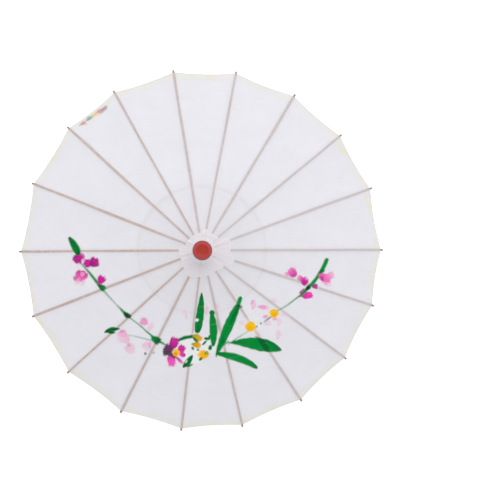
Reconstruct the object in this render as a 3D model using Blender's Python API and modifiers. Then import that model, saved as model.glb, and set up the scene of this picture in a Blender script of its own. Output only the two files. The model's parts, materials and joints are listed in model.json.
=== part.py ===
"""Oil paper umbrella: a bamboo parasol frame with a slotted crown, a sliding runner and eighteen ribs.

The origin is the centre of the handle's flat end, +Z runs up the shaft to the finial knob, and rib 01
points along +X. The other ribs follow anticlockwise, and the crown is slotted by hand, so they are a
few degrees off an even spread. The parasol is modelled open.

Each rib, its stretcher and the shaft make an isosceles linkage: the stretcher is as long as the rib's
inner part, and the crown and the runner carry their hinges at the same radius. When a rib turns by an
angle, its stretcher turns back by twice that angle and the runner slides straight down the shaft.
"""
import math

import bmesh
import bpy
from mathutils import Matrix, Vector

MM = 0.001

# Driving dimensions
RIB_STRAY_DEGREES = (0, 0, -0.5, -1, -1, -1, -1, -2.5, -1.5, 0.5, 1.5, 2.5, 3.5, 3.5, 3, 3.5, 3, 2)
RIB_COUNT = len(RIB_STRAY_DEGREES)
PITCH = 2 * math.pi / RIB_COUNT
RIB_AZIMUTHS = [number * PITCH + math.radians(stray) for number, stray in enumerate(RIB_STRAY_DEGREES)]
HINGE_RADIUS = 12 * MM
HINGE_HEIGHT = 360 * MM
OPEN_SLOPE = math.radians(22)
RIB_LENGTH = 300.9 * MM
TOTAL_HEIGHT = 400 * MM
GAP = 0.3 * MM

# Tie wires and the eyes that turn on them
WIRE_RADIUS = 0.4 * MM
EYE_HOLE_RADIUS = 0.65 * MM
EYE_RADIUS = 1.5 * MM
EYE_WIDTH = 2.0 * MM
EYE_SIDES = 8

# Ribs
RIB_HALF_DEPTH = 1.25 * MM
RIB_WIDTH = 4.2 * MM
RIB_TAPER_ALONG = 284 * MM
JOINT_ALONG = 95 * MM
JOINT_BELOW = 3 * MM
LUG_WIDTH = 1.6 * MM
LUG_ROOT_HALF_LENGTH = 3 * MM

# Stretchers
STRETCHER_LENGTH = math.hypot(JOINT_ALONG, JOINT_BELOW)
STRETCHER_SLOPE = OPEN_SLOPE + math.atan(JOINT_BELOW / JOINT_ALONG)
STRETCHER_HALF_DEPTH = 1.1 * MM
STRETCHER_WIDTH = 3.2 * MM
FORK_WIDTH = 3.7 * MM
FORK_EYE_RADIUS = 1.45 * MM
FORK_SLOT_WIDTH = LUG_WIDTH + 0.5 * MM
FORK_SLOT_DEPTH = 3.5 * MM

RUNNER_HEIGHT = HINGE_HEIGHT - 2 * STRETCHER_LENGTH * math.sin(STRETCHER_SLOPE)

# Crown notch and runner
HEAD_RADIUS = 14.5 * MM
HEAD_CLOSED_SIDE = 4.5 * MM
HEAD_OPEN_SIDE = 5.5 * MM
HEAD_CHAMFER = 1 * MM
SLOT_WIDTH = EYE_WIDTH + 0.5 * MM
SLOT_INNER_RADIUS = 10.1 * MM
SLOT_CLOSED_SIDE = 1.9 * MM
NECK_RADIUS = 9 * MM
CROWN_NECK_LENGTH = 9.7 * MM
RUNNER_NECK_LENGTH = 36 * MM
TURNED_STEPS = 36

# Shaft and handle
SHAFT_RADIUS = 5.5 * MM
SHAFT_BORE_RADIUS = SHAFT_RADIUS + GAP
TENON_RADIUS = 4 * MM
TENON_TOP = HINGE_HEIGHT + 28 * MM
HANDLE_RADIUS = 9 * MM
HANDLE_END_RADIUS = 7.5 * MM

# Finial knob
KNOB_RADIUS = 15 * MM
KNOB_BOTTOM = HINGE_HEIGHT + CROWN_NECK_LENGTH + GAP

# Canopy
CLOTH_THICKNESS = 0.5 * MM
CLOTH_ABOVE_RIB = RIB_HALF_DEPTH + GAP
CLOTH_START = 15.6 * MM
CLOTH_END = 286.3 * MM
RIM_HOLLOW = 1.3 * MM
GORE_GAP = 0.3 * MM
CAP_RADIUS = 44 * MM

# Spring catch
CATCH_PIVOT_HEIGHT = 222 * MM
CATCH_WIDTH = 2 * MM
CATCH_SLOT_WIDTH = CATCH_WIDTH + 0.6 * MM
CATCH_PIN_RADIUS = 0.5 * MM
CATCH_HOLE_RADIUS = 0.8 * MM
CATCH_TOP = RUNNER_HEIGHT - RUNNER_NECK_LENGTH - 1 * MM
CATCH_REACH = 7.8 * MM

BAMBOO = ("bamboo", (0.70, 0.57, 0.42, 1), 0.55)
SPLIT_BAMBOO = ("split_bamboo", (0.64, 0.52, 0.38, 1), 0.6)
TURNED_WOOD = ("turned_wood", (0.56, 0.38, 0.22, 1), 0.5)
RED_LACQUER = ("red_lacquer", (0.50, 0.06, 0.04, 1), 0.3)
CANOPY_CLOTH = ("canopy_cloth", (0.86, 0.86, 0.90, 1), 0.7)
CAP_CLOTH = ("cap_cloth", (0.80, 0.79, 0.84, 1), 0.75)
CATCH_BAMBOO = ("catch_bamboo", (0.60, 0.45, 0.28, 1), 0.5)


def clear_scene():
    for leftover in list(bpy.data.objects):
        bpy.data.objects.remove(leftover, do_unlink=True)


def new_collection(name):
    collection = bpy.data.collections.new(name)
    bpy.context.scene.collection.children.link(collection)
    return collection


def material(look):
    """The material of a named look, made the first time it is asked for."""
    name, colour, roughness = look
    if name not in bpy.data.materials:
        made = bpy.data.materials.new(name)
        made.use_nodes = True
        shader = made.node_tree.nodes["Principled BSDF"]
        shader.inputs["Base Color"].default_value = colour
        shader.inputs["Roughness"].default_value = roughness
        shader.inputs["Metallic"].default_value = 0.0
    return bpy.data.materials[name]


def mesh_object(name, mesh, collection, look=None):
    made = bpy.data.objects.new(name, mesh)
    collection.objects.link(made)
    if look and not mesh.materials:
        mesh.materials.append(material(look))
    return made


def mesh_from(bm, name):
    bmesh.ops.recalc_face_normals(bm, faces=bm.faces)
    mesh = bpy.data.meshes.new(name)
    bm.to_mesh(mesh)
    bm.free()
    return mesh


def cutter(name, mesh):
    """A guide solid for a Boolean, kept out of the model."""
    made = mesh_object(name, mesh, CUTTERS)
    made.hide_render = True
    made.display_type = "WIRE"
    return made


def cross_cylinder(name, radius, width, centre=(0, 0), sides=EYE_SIDES):
    """Cylinder along Y, centred on (x, z)."""
    bm = bmesh.new()
    turn = Matrix.Rotation(math.pi / 2, 4, "X")
    place = Matrix.Translation((centre[0], 0, centre[1])) @ turn
    bmesh.ops.create_cone(bm, cap_ends=True, segments=sides, radius1=radius, radius2=radius,
                          depth=width, matrix=place)
    return mesh_from(bm, name)


def box(name, low, high):
    bm = bmesh.new()
    low, high = Vector(low), Vector(high)
    size = Matrix.Diagonal((*(high - low), 1))
    bmesh.ops.create_cube(bm, size=1, matrix=Matrix.Translation((low + high) / 2) @ size)
    return mesh_from(bm, name)


def bar(name, stations):
    """Bar along +X lofted through rectangular sections, each (x, width, low z, high z)."""
    bm = bmesh.new()
    rings = []
    for x, width, low, high in stations:
        corners = ((-1, low), (1, low), (1, high), (-1, high))
        rings.append([bm.verts.new((x, side * width / 2, z)) for side, z in corners])
    for near, far in zip(rings, rings[1:]):
        for first in range(4):
            second = (first + 1) % 4
            bm.faces.new((near[first], near[second], far[second], far[first]))
    bm.faces.new(rings[0])
    bm.faces.new(rings[-1])
    return mesh_from(bm, name)


def combine(target, mesh, operation):
    """Join a mesh to the target, or cut it out of the target, with a Boolean modifier."""
    tool = cutter(f"{target.name}_{mesh.name}", mesh)
    tool.matrix_world = target.matrix_world
    modifier = target.modifiers.new(mesh.name, "BOOLEAN")
    modifier.operation = operation
    modifier.solver = "EXACT"
    modifier.object = tool


def evaluated_mesh(source, name):
    """The source object's mesh with its modifiers applied."""
    bpy.context.view_layer.update()
    graph = bpy.context.evaluated_depsgraph_get()
    mesh = bpy.data.meshes.new_from_object(source.evaluated_get(graph))
    mesh.name = name
    return mesh


def smooth_round(mesh, angle=math.radians(35)):
    mesh.shade_smooth()
    mesh.set_sharp_from_angle(angle=angle)


def turned(name, profile, look, closed=False, steps=TURNED_STEPS):
    """Turned piece: a profile of (radius, z) points, outer side from the top down, spun about Z."""
    bm = bmesh.new()
    points = [bm.verts.new((radius, 0, z)) for radius, z in profile]
    for first, second in zip(points, points[1:]):
        bm.edges.new((first, second))
    if closed:
        bm.edges.new((points[-1], points[0]))
    mesh = bpy.data.meshes.new(name)
    bm.to_mesh(mesh)
    bm.free()
    made = mesh_object(name, mesh, PARTS, look)
    spin = made.modifiers.new("Spin", "SCREW")
    spin.steps = steps
    spin.render_steps = steps
    spin.use_merge_vertices = True
    spin.merge_threshold = 0.00001
    return made


def half_space_after(number):
    """Half the angle from a rib to the next one anticlockwise."""
    following = RIB_AZIMUTHS[(number + 1) % RIB_COUNT]
    return (following - RIB_AZIMUTHS[number]) % (2 * math.pi) / 2


def half_space(number, side):
    """Half the angle from a rib to its neighbour, anticlockwise for side 1 and clockwise for side -1."""
    return half_space_after(number if side > 0 else number - 1)


def tie_wire(hinge_height):
    """Wire ring through a slotted head: straight across each slot, with its corners in the walls."""
    curve = bpy.data.curves.new("tie_wire", "CURVE")
    curve.dimensions = "3D"
    curve.bevel_depth = WIRE_RADIUS
    curve.bevel_resolution = 1
    line = curve.splines.new("POLY")
    line.points.add(RIB_COUNT - 1)
    for number, point in enumerate(line.points):
        half = half_space_after(number)
        angle = RIB_AZIMUTHS[number] + half
        corner_radius = HINGE_RADIUS / math.cos(half)
        point.co = (corner_radius * math.cos(angle), corner_radius * math.sin(angle), hinge_height, 1)
    line.use_cyclic_u = True
    guide = bpy.data.objects.new("tie_wire", curve)
    CUTTERS.objects.link(guide)
    mesh = evaluated_mesh(guide, "tie_wire")
    bpy.data.objects.remove(guide, do_unlink=True)
    return mesh


def rib_slots(hinge_height, open_side):
    """Radial boxes, one for each rib, open to the outside and to the head's open side."""
    bm = bmesh.new()
    low, high = SLOT_INNER_RADIUS, HEAD_RADIUS + 2 * MM
    reach = HEAD_OPEN_SIDE + 2 * MM
    centre_z = hinge_height + open_side * (reach - SLOT_CLOSED_SIDE) / 2
    size = Matrix.Diagonal((high - low, SLOT_WIDTH, reach + SLOT_CLOSED_SIDE, 1))
    for azimuth in RIB_AZIMUTHS:
        place = Matrix.Translation(((low + high) / 2, 0, centre_z))
        turn = Matrix.Rotation(azimuth, 4, "Z")
        bmesh.ops.create_cube(bm, size=1, matrix=turn @ place @ size)
    return mesh_from(bm, "rib_slots")


def slotted_head(name, hinge_height, open_side, neck_profile, look):
    """Turned head with a slot for each rib and the tie wire fixed in its walls.

    open_side is -1 where the slots open downwards and +1 where they open upwards. neck_profile runs
    away from the head on its closed side, as (radius, distance from the hinges) points.
    """
    head = [
        (HEAD_RADIUS - HEAD_CHAMFER, HEAD_OPEN_SIDE),
        (HEAD_RADIUS, HEAD_OPEN_SIDE - HEAD_CHAMFER),
        (HEAD_RADIUS, HEAD_CHAMFER - HEAD_CLOSED_SIDE),
        (HEAD_RADIUS - HEAD_CHAMFER, -HEAD_CLOSED_SIDE),
    ]
    neck = [(radius, -distance) for radius, distance in neck_profile]
    bore = [(SHAFT_BORE_RADIUS, neck[-1][1]), (SHAFT_BORE_RADIUS, HEAD_OPEN_SIDE)]
    outline = [(radius, hinge_height + open_side * along) for radius, along in head + neck + bore]
    if open_side < 0:
        outline.reverse()
    made = turned(name, outline, look, closed=True)
    combine(made, rib_slots(hinge_height, open_side), "DIFFERENCE")
    combine(made, tie_wire(hinge_height), "UNION")
    return made


def crown_notch():
    neck = [(NECK_RADIUS, HEAD_CLOSED_SIDE), (NECK_RADIUS, CROWN_NECK_LENGTH)]
    return slotted_head("crown_notch", HINGE_HEIGHT, -1, neck, TURNED_WOOD)


def runner():
    """Slotted runner: a head for the stretchers, and a sleeve with a bead that the hand pushes."""
    bead = RUNNER_NECK_LENGTH - 6 * MM
    neck = [
        (NECK_RADIUS, HEAD_CLOSED_SIDE),
        (NECK_RADIUS - 0.6 * MM, HEAD_CLOSED_SIDE + 10 * MM),
        (NECK_RADIUS, bead),
        (NECK_RADIUS + 2 * MM, bead + 2 * MM),
        (NECK_RADIUS + 2 * MM, RUNNER_NECK_LENGTH - 1 * MM),
        (NECK_RADIUS + 1 * MM, RUNNER_NECK_LENGTH),
    ]
    return slotted_head("runner", RUNNER_HEIGHT, 1, neck, TURNED_WOOD)


def shaft():
    """Shaft and turned handle in one stick, slotted for the catch, with the catch's pin across the slot."""
    profile = [
        (0, TENON_TOP),
        (TENON_RADIUS, TENON_TOP),
        (TENON_RADIUS, KNOB_BOTTOM - GAP),
        (SHAFT_RADIUS, KNOB_BOTTOM - GAP),
        (SHAFT_RADIUS, 88 * MM),
        (HANDLE_RADIUS - 1 * MM, 84 * MM),
        (HANDLE_RADIUS - 1 * MM, 80 * MM),
        (HANDLE_RADIUS - 2.2 * MM, 77 * MM),
        (HANDLE_RADIUS - 0.8 * MM, 62 * MM),
        (HANDLE_RADIUS, 42 * MM),
        (HANDLE_RADIUS - 0.4 * MM, 24 * MM),
        (HANDLE_RADIUS - 1.8 * MM, 12 * MM),
        (HANDLE_RADIUS, 6 * MM),
        (HANDLE_RADIUS - 0.3 * MM, 1.5 * MM),
        (HANDLE_END_RADIUS, 0),
        (0, 0),
    ]
    made = turned("shaft", profile, BAMBOO, steps=24)
    half = CATCH_SLOT_WIDTH / 2
    low = CATCH_PIVOT_HEIGHT - 3 * MM
    high = CATCH_TOP + 3 * MM
    outside = HANDLE_RADIUS
    combine(made, box("catch_slot", (-half, -outside, low), (half, outside, high)), "DIFFERENCE")
    pin = cross_cylinder("catch_pin", CATCH_PIN_RADIUS, CATCH_SLOT_WIDTH + 2 * MM)
    pin.transform(Matrix.Translation((0, 0, CATCH_PIVOT_HEIGHT)) @ Matrix.Rotation(math.pi / 2, 4, "Z"))
    combine(made, pin, "UNION")
    return made


def finial_knob():
    """Lacquered knob with a dished top, a bevelled shoulder and a blind hole for the shaft's tenon."""
    hole_radius = TENON_RADIUS + GAP
    hole_top = TENON_TOP + GAP
    profile = [
        (0, TOTAL_HEIGHT - 0.8 * MM),
        (6 * MM, TOTAL_HEIGHT - 0.5 * MM),
        (9.5 * MM, TOTAL_HEIGHT),
        (10.5 * MM, TOTAL_HEIGHT - 0.3 * MM),
        (13 * MM, TOTAL_HEIGHT - 3 * MM),
        (KNOB_RADIUS, TOTAL_HEIGHT - 8.5 * MM),
        (KNOB_RADIUS, TOTAL_HEIGHT - 12 * MM),
        (12 * MM, TOTAL_HEIGHT - 17 * MM),
        (9.5 * MM, TOTAL_HEIGHT - 21 * MM),
        (10.5 * MM, KNOB_BOTTOM + 5 * MM),
        (12.5 * MM, KNOB_BOTTOM + 3 * MM),
        (12.5 * MM, KNOB_BOTTOM + 1 * MM),
        (11.5 * MM, KNOB_BOTTOM),
        (hole_radius, KNOB_BOTTOM),
        (hole_radius, hole_top),
        (0, hole_top),
    ]
    return turned("finial_knob", profile, RED_LACQUER)


def cloth_top(radius):
    """Height of the canopy's upper side above a rib, at a radius from the shaft."""
    lift = (CLOTH_ABOVE_RIB + CLOTH_THICKNESS) / math.cos(OPEN_SLOPE)
    return HINGE_HEIGHT - (radius - HINGE_RADIUS) * math.tan(OPEN_SLOPE) + lift


def crown_cap():
    """Cloth cap tied round the crown's neck, lying on the canopy."""
    thickness = 0.55 * MM
    under = [
        (CAP_RADIUS, cloth_top(CAP_RADIUS) + 0.5 * MM),
        (24 * MM, cloth_top(24 * MM) + 0.6 * MM),
        (15.6 * MM, HINGE_HEIGHT + HEAD_CLOSED_SIDE + 0.6 * MM),
        (NECK_RADIUS + 0.5 * MM, HINGE_HEIGHT + 7 * MM),
    ]
    over = [(radius, z + thickness) for radius, z in reversed(under)]
    return turned("crown_cap", over + under, CAP_CLOTH, closed=True)


def rib_mesh():
    """Split bamboo rib along +X with its hinge eye at the origin and the stretcher's lug below it."""
    top = RIB_HALF_DEPTH
    stations = [
        (0.2 * MM, EYE_WIDTH - 0.1 * MM, -top, top),
        (7 * MM, EYE_WIDTH, -top, top),
        (20 * MM, 3.2 * MM, -top, top),
        (60 * MM, 3.9 * MM, -top, top),
        (100 * MM, RIB_WIDTH, -top, top),
        (RIB_TAPER_ALONG, RIB_WIDTH, -1.0 * MM, top),
        (RIB_LENGTH - 2 * MM, 3.4 * MM, -0.8 * MM, top - 0.1 * MM),
        (RIB_LENGTH, 2.2 * MM, -0.4 * MM, top - 0.6 * MM),
    ]
    draft = cutter("rib_draft", bar("rib", stations))
    combine(draft, cross_cylinder("eye", EYE_RADIUS, EYE_WIDTH), "UNION")
    lug = bar("lug", [
        (JOINT_ALONG - LUG_ROOT_HALF_LENGTH, LUG_WIDTH - 0.1 * MM, -top - 0.1 * MM, 0),
        (JOINT_ALONG - 0.9 * MM, LUG_WIDTH - 0.1 * MM, -JOINT_BELOW - 1.1 * MM, 0),
        (JOINT_ALONG + 0.9 * MM, LUG_WIDTH - 0.1 * MM, -JOINT_BELOW - 1.1 * MM, 0),
        (JOINT_ALONG + LUG_ROOT_HALF_LENGTH, LUG_WIDTH - 0.1 * MM, -top - 0.1 * MM, 0),
    ])
    combine(draft, lug, "UNION")
    joint = (JOINT_ALONG, -JOINT_BELOW)
    combine(draft, cross_cylinder("lug_eye", EYE_RADIUS, LUG_WIDTH, joint), "UNION")
    combine(draft, cross_cylinder("hub_hole", EYE_HOLE_RADIUS, 3 * EYE_WIDTH), "DIFFERENCE")
    combine(draft, cross_cylinder("lug_hole", EYE_HOLE_RADIUS, 3 * EYE_WIDTH, joint), "DIFFERENCE")
    return evaluated_mesh(draft, "rib")


def stretcher_mesh():
    """Stretcher along +X: the fork and its pin at the origin, and the eye for the runner's wire."""
    deep = STRETCHER_HALF_DEPTH
    length = STRETCHER_LENGTH
    stations = [
        (0.1 * MM, FORK_WIDTH - 0.1 * MM, -deep, deep),
        (7 * MM, FORK_WIDTH - 0.1 * MM, -deep, deep),
        (12 * MM, STRETCHER_WIDTH, -deep, deep),
        (length - 20 * MM, STRETCHER_WIDTH, -deep, deep),
        (length - 7 * MM, EYE_WIDTH, -deep, deep),
        (length - 0.2 * MM, EYE_WIDTH - 0.1 * MM, -deep, deep),
    ]
    draft = cutter("stretcher_draft", bar("stretcher", stations))
    combine(draft, cross_cylinder("fork_eye", FORK_EYE_RADIUS, FORK_WIDTH), "UNION")
    combine(draft, cross_cylinder("runner_eye", EYE_RADIUS, EYE_WIDTH, (length, 0)), "UNION")
    half = FORK_SLOT_WIDTH / 2
    slot = box("fork_slot", (-3 * MM, -half, -3 * MM), (FORK_SLOT_DEPTH, half, 3 * MM))
    combine(draft, slot, "DIFFERENCE")
    combine(draft, cross_cylinder("fork_pin", WIRE_RADIUS, FORK_SLOT_WIDTH + 1 * MM), "UNION")
    hole = cross_cylinder("runner_hole", EYE_HOLE_RADIUS, 3 * EYE_WIDTH, (length, 0))
    combine(draft, hole, "DIFFERENCE")
    return evaluated_mesh(draft, "stretcher")


def gore_mesh(number):
    """Canopy cloth of one rib, out to the middle of the space on either side.

    It is modelled in the rib's own axes: +X along the rib, and the cloth falls away on both sides along
    the level chords between neighbouring ribs.
    """
    slope = Matrix.Rotation(OPEN_SLOPE, 3, "Y").inverted()
    columns = (-1.0, -0.5, 0.0, 0.5, 1.0)
    bm = bmesh.new()

    def row(edge_radius, hollow):
        points = []
        for column in columns:
            side = math.copysign(1, column)
            half = half_space(number, side)
            chord = slope @ Vector((-math.sin(half), side * math.cos(half), 0))
            radius = edge_radius - hollow * (1 - (1 - abs(column)) ** 2)
            to_middle = radius * math.sin(half) - GORE_GAP / 2
            on_rib = Vector(((radius - HINGE_RADIUS) / math.cos(OPEN_SLOPE), 0, CLOTH_ABOVE_RIB))
            points.append(bm.verts.new(on_rib + chord * to_middle * abs(column)))
        return points

    inner = row(CLOTH_START, 0)
    outer = row(CLOTH_END, RIM_HOLLOW)
    for second in range(1, len(columns)):
        bm.faces.new((inner[second - 1], outer[second - 1], outer[second], inner[second]))
    mesh = mesh_from(bm, "gore")
    sheet = cutter("gore_draft", mesh)
    thick = sheet.modifiers.new("Thickness", "SOLIDIFY")
    thick.thickness = CLOTH_THICKNESS
    thick.offset = 1
    return evaluated_mesh(sheet, "gore")


def ribs_stretchers_and_gores():
    """One rib, one stretcher and one gore of cloth at each slot of the crown."""
    rib, stretcher = rib_mesh(), stretcher_mesh()
    for number, azimuth in enumerate(RIB_AZIMUTHS):
        outward = Vector((math.cos(azimuth), math.sin(azimuth), 0))
        hinge = outward * HINGE_RADIUS + Vector((0, 0, HINGE_HEIGHT))
        joint_radius = HINGE_RADIUS + STRETCHER_LENGTH * math.cos(STRETCHER_SLOPE)
        joint_drop = STRETCHER_LENGTH * math.sin(STRETCHER_SLOPE)
        joint = outward * joint_radius + Vector((0, 0, HINGE_HEIGHT - joint_drop))
        label = f"{number + 1:02d}"
        placed = (
            ("rib", rib, SPLIT_BAMBOO, hinge, OPEN_SLOPE, azimuth),
            ("canopy_gore", gore_mesh(number), CANOPY_CLOTH, hinge, OPEN_SLOPE, azimuth),
            ("stretcher", stretcher, SPLIT_BAMBOO, joint, STRETCHER_SLOPE, azimuth + math.pi),
        )
        for kind, mesh, look, place, slope, turn in placed:
            made = mesh_object(f"{kind}_{label}", mesh, PARTS, look)
            made.location = place
            made.rotation_euler = (0, slope, turn)


def spring_catch():
    """Sprung wedge in the shaft's slot: it stands out under the runner and is pressed in to free it."""
    inside = SHAFT_RADIUS - 0.8 * MM
    outline = [
        (-inside, -2.4 * MM),
        (-inside, 4 * MM),
        (-CATCH_REACH, CATCH_TOP - CATCH_PIVOT_HEIGHT - 3 * MM),
        (-CATCH_REACH, CATCH_TOP - CATCH_PIVOT_HEIGHT),
        (-1 * MM, CATCH_TOP - CATCH_PIVOT_HEIGHT),
        (1.5 * MM, 4 * MM),
        (2 * MM, -2.4 * MM),
    ]
    bm = bmesh.new()
    side = bm.faces.new([bm.verts.new((-CATCH_WIDTH / 2, y, z)) for y, z in outline])
    moved = bmesh.ops.extrude_face_region(bm, geom=[side])["geom"]
    bmesh.ops.translate(bm, vec=(CATCH_WIDTH, 0, 0),
                        verts=[item for item in moved if isinstance(item, bmesh.types.BMVert)])
    made = mesh_object("spring_catch", mesh_from(bm, "spring_catch"), PARTS, CATCH_BAMBOO)
    made.location = (0, 0, CATCH_PIVOT_HEIGHT)
    bpy.context.view_layer.update()
    hole = cross_cylinder("catch_hole", CATCH_HOLE_RADIUS, 3 * CATCH_WIDTH)
    hole.transform(Matrix.Rotation(math.pi / 2, 4, "Z"))
    combine(made, hole, "DIFFERENCE")
    return made


clear_scene()
PARTS = new_collection("oil_paper_umbrella")
CUTTERS = new_collection("cutters")

for turned_piece in (shaft(), crown_notch(), runner(), finial_knob(), crown_cap()):
    smooth_round(turned_piece.data)
ribs_stretchers_and_gores()
spring_catch()
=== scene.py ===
"""Looks of the oil paper umbrella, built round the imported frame.

The canopy is one continuous sheet at rest. Lengths are in metres, and the painted spray is laid out in
millimetres from the shaft's axis.
"""

import json
import math
import random

import bmesh
import bpy
import numpy as np
from mathutils import Matrix, Vector

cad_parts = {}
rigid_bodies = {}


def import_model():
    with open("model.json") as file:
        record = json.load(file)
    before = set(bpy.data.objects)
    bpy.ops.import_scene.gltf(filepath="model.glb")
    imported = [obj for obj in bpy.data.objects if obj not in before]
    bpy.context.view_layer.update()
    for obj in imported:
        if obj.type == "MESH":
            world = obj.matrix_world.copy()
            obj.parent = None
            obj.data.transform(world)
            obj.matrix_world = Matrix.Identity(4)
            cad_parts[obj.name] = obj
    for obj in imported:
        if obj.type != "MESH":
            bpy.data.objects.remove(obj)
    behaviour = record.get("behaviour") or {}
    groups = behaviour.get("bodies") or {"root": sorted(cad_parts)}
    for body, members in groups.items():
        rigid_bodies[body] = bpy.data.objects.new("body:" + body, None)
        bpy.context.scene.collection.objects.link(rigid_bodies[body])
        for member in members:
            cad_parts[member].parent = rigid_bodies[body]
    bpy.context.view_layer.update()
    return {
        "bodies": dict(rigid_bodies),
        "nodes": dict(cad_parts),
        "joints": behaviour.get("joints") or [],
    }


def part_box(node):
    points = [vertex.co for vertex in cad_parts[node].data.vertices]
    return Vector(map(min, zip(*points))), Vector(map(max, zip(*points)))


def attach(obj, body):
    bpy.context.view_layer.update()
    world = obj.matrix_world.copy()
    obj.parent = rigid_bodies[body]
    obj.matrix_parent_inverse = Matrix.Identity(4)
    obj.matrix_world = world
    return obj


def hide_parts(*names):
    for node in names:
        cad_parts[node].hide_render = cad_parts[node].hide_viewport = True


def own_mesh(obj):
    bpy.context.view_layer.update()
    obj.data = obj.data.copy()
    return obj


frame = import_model()
MM = 0.001
CAMERA_PLACE = Vector((-0.020, 0.014, 3.0))

# ---------------------------------------------------------------- what the frame says

JOINTS = {joint["child"]: joint for joint in frame["joints"]}
RIB_COUNT = sum(1 for body in frame["bodies"] if body.startswith("rib_"))
LABELS = [f"{number + 1:02d}" for number in range(RIB_COUNT)]
AZIMUTHS = [math.atan2(*reversed(JOINTS[f"rib_{label}"]["pos_m"][:2])) for label in LABELS]
ROOT = JOINTS["rib_01"]["parent"]
FOLD_ANGLE = math.radians(JOINTS["rib_01"]["range_deg"][1])
HINGE_RADIUS = JOINTS["rib_01"]["pos_m"][0]
HINGE_HEIGHT = JOINTS["rib_01"]["pos_m"][2]
RUNNER_HEIGHT = JOINTS["runner"]["pos_m"][2]
PIN_RADIUS = JOINTS["stretcher_01"]["pos_m"][0]
PIN_HEIGHT = JOINTS["stretcher_01"]["pos_m"][2]
CATCH_HEIGHT = JOINTS["spring_catch"]["pos_m"][2]


def ridge_points():
    """Inner and outer end of gore 01's upper ridge, over its rib."""
    ridge = [v.co for v in frame["nodes"]["canopy_gore_01"].data.vertices if abs(v.co.y) < 0.1 * MM]
    ends = (min(point.x for point in ridge), max(point.x for point in ridge))
    return [max((point for point in ridge if abs(point.x - end) < 1 * MM), key=lambda point: point.z)
            for end in ends]


RIDGE_IN, RIDGE_OUT = ridge_points()
SLOPE = math.atan2(RIDGE_IN.z - RIDGE_OUT.z, RIDGE_OUT.x - RIDGE_IN.x)
CLOSED_SLOPE = SLOPE + FOLD_ANGLE
ALONG = Vector((math.cos(SLOPE), 0, -math.sin(SLOPE)))
ABOVE = Vector((math.sin(SLOPE), 0, math.cos(SLOPE)))
HINGE = Vector((HINGE_RADIUS, 0, HINGE_HEIGHT))
CLOTH_TOP = (RIDGE_OUT - HINGE).dot(ABOVE)
CLOTH_START = RIDGE_IN.x
CLOTH_END = RIDGE_OUT.x
RIB_LENGTH = (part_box("rib_01")[1].x - HINGE_RADIUS) / math.cos(SLOPE)
PIN_OFFSET = Vector((PIN_RADIUS, 0, PIN_HEIGHT)) - HINGE
PIN_ALONG = PIN_OFFSET.dot(ALONG)
PIN_BELOW = -PIN_OFFSET.dot(ABOVE)
STRETCHER_LENGTH = math.hypot(PIN_RADIUS - HINGE_RADIUS, PIN_HEIGHT - RUNNER_HEIGHT)
STRETCHER_SLOPE = math.atan2(PIN_HEIGHT - RUNNER_HEIGHT, PIN_RADIUS - HINGE_RADIUS)
KNOB_LOW, KNOB_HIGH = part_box("finial_knob")

# ---------------------------------------------------------------- the canopy's fold

CLOTH_THICKNESS = 0.3 * MM
SHEET_LEVEL = CLOTH_TOP - 0.2 * MM
RIM_HOLLOW = 1.3 * MM
PLEAT_TILT = math.radians(6)
PLEAT_ANCHOR = 100 * MM


def half_space(number, side):
    """Half the angle from a rib to its neighbour, anticlockwise for side 1 and clockwise for side -1."""
    apart = (AZIMUTHS[(number + side) % RIB_COUNT] - AZIMUTHS[number]) * side
    return apart % (2 * math.pi) / 2


def fold_numbers(half):
    """Width of the strip beside a rib, and how flat a half gore pleats, so that the closed cloth meets.

    A half gore flattens along a direction tilted by PLEAT_TILT from the rib's side. Its edge on the rib
    stays put, and its other edge has to reach the plane halfway to the next rib when the rib is closed.
    """
    ratio = math.cos(CLOSED_SLOPE) / math.cos(SLOPE)
    open_start = HINGE_RADIUS + SHEET_LEVEL * math.sin(SLOPE)
    closed_start = HINGE_RADIUS + SHEET_LEVEL * math.sin(CLOSED_SLOPE)
    strip = math.tan(half) * (closed_start - ratio * open_start) / (1 - ratio)
    wanted = (math.cos(half) + math.tan(half) * math.sin(half) * math.cos(FOLD_ANGLE)
              - ratio / math.cos(half))
    pull = wanted / (math.cos(PLEAT_TILT)
                     - math.tan(half) * math.sin(CLOSED_SLOPE) * math.sin(PLEAT_TILT))
    reach = (math.cos(half) * math.cos(PLEAT_TILT)
             - math.sin(half) * math.sin(SLOPE) * math.sin(PLEAT_TILT))
    return strip, 1 - pull / reach


def sheet_height(x):
    """Height of the sheet's middle over a rib, at a distance x out from the axis."""
    return (HINGE_HEIGHT - (x - HINGE_RADIUS - SHEET_LEVEL * math.sin(SLOPE)) * math.tan(SLOPE)
            + SHEET_LEVEL * math.cos(SLOPE))


def half_points(x, share, number, side):
    """Points of a half gore in its rib's plan: share runs from the strip's edge to the middle line."""
    half = half_space(number, side)
    strip = fold_numbers(half)[0]
    width = np.maximum(x * math.sin(half) - strip * math.cos(half), 0) * share
    return np.stack([x - width * math.sin(half), side * (strip + width * math.cos(half)),
                     sheet_height(x)], axis=-1)


def facet_normal(number, side):
    """Upward normal of a half gore, in its rib's plan frame."""
    half = half_space(number, side)
    chord = Vector((-math.sin(half), side * math.cos(half), 0))
    normal = ALONG.cross(chord) * side
    return normal.normalized() if normal.z > 0 else -normal.normalized()


def turned_about_z(points, angle):
    """Points or vectors turned about the shaft's axis."""
    spin = np.array([[math.cos(angle), -math.sin(angle), 0],
                     [math.sin(angle), math.cos(angle), 0], [0, 0, 1]])
    return points @ spin.T


# ---------------------------------------------------------------- small helpers

def finish_piece(obj, body, material, replaced=()):
    """Give a piece its material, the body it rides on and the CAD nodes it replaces."""
    if material is not None:
        obj.data.materials.clear()
        obj.data.materials.append(material)
    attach(obj, body)
    if replaced:
        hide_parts(*replaced)


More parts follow.
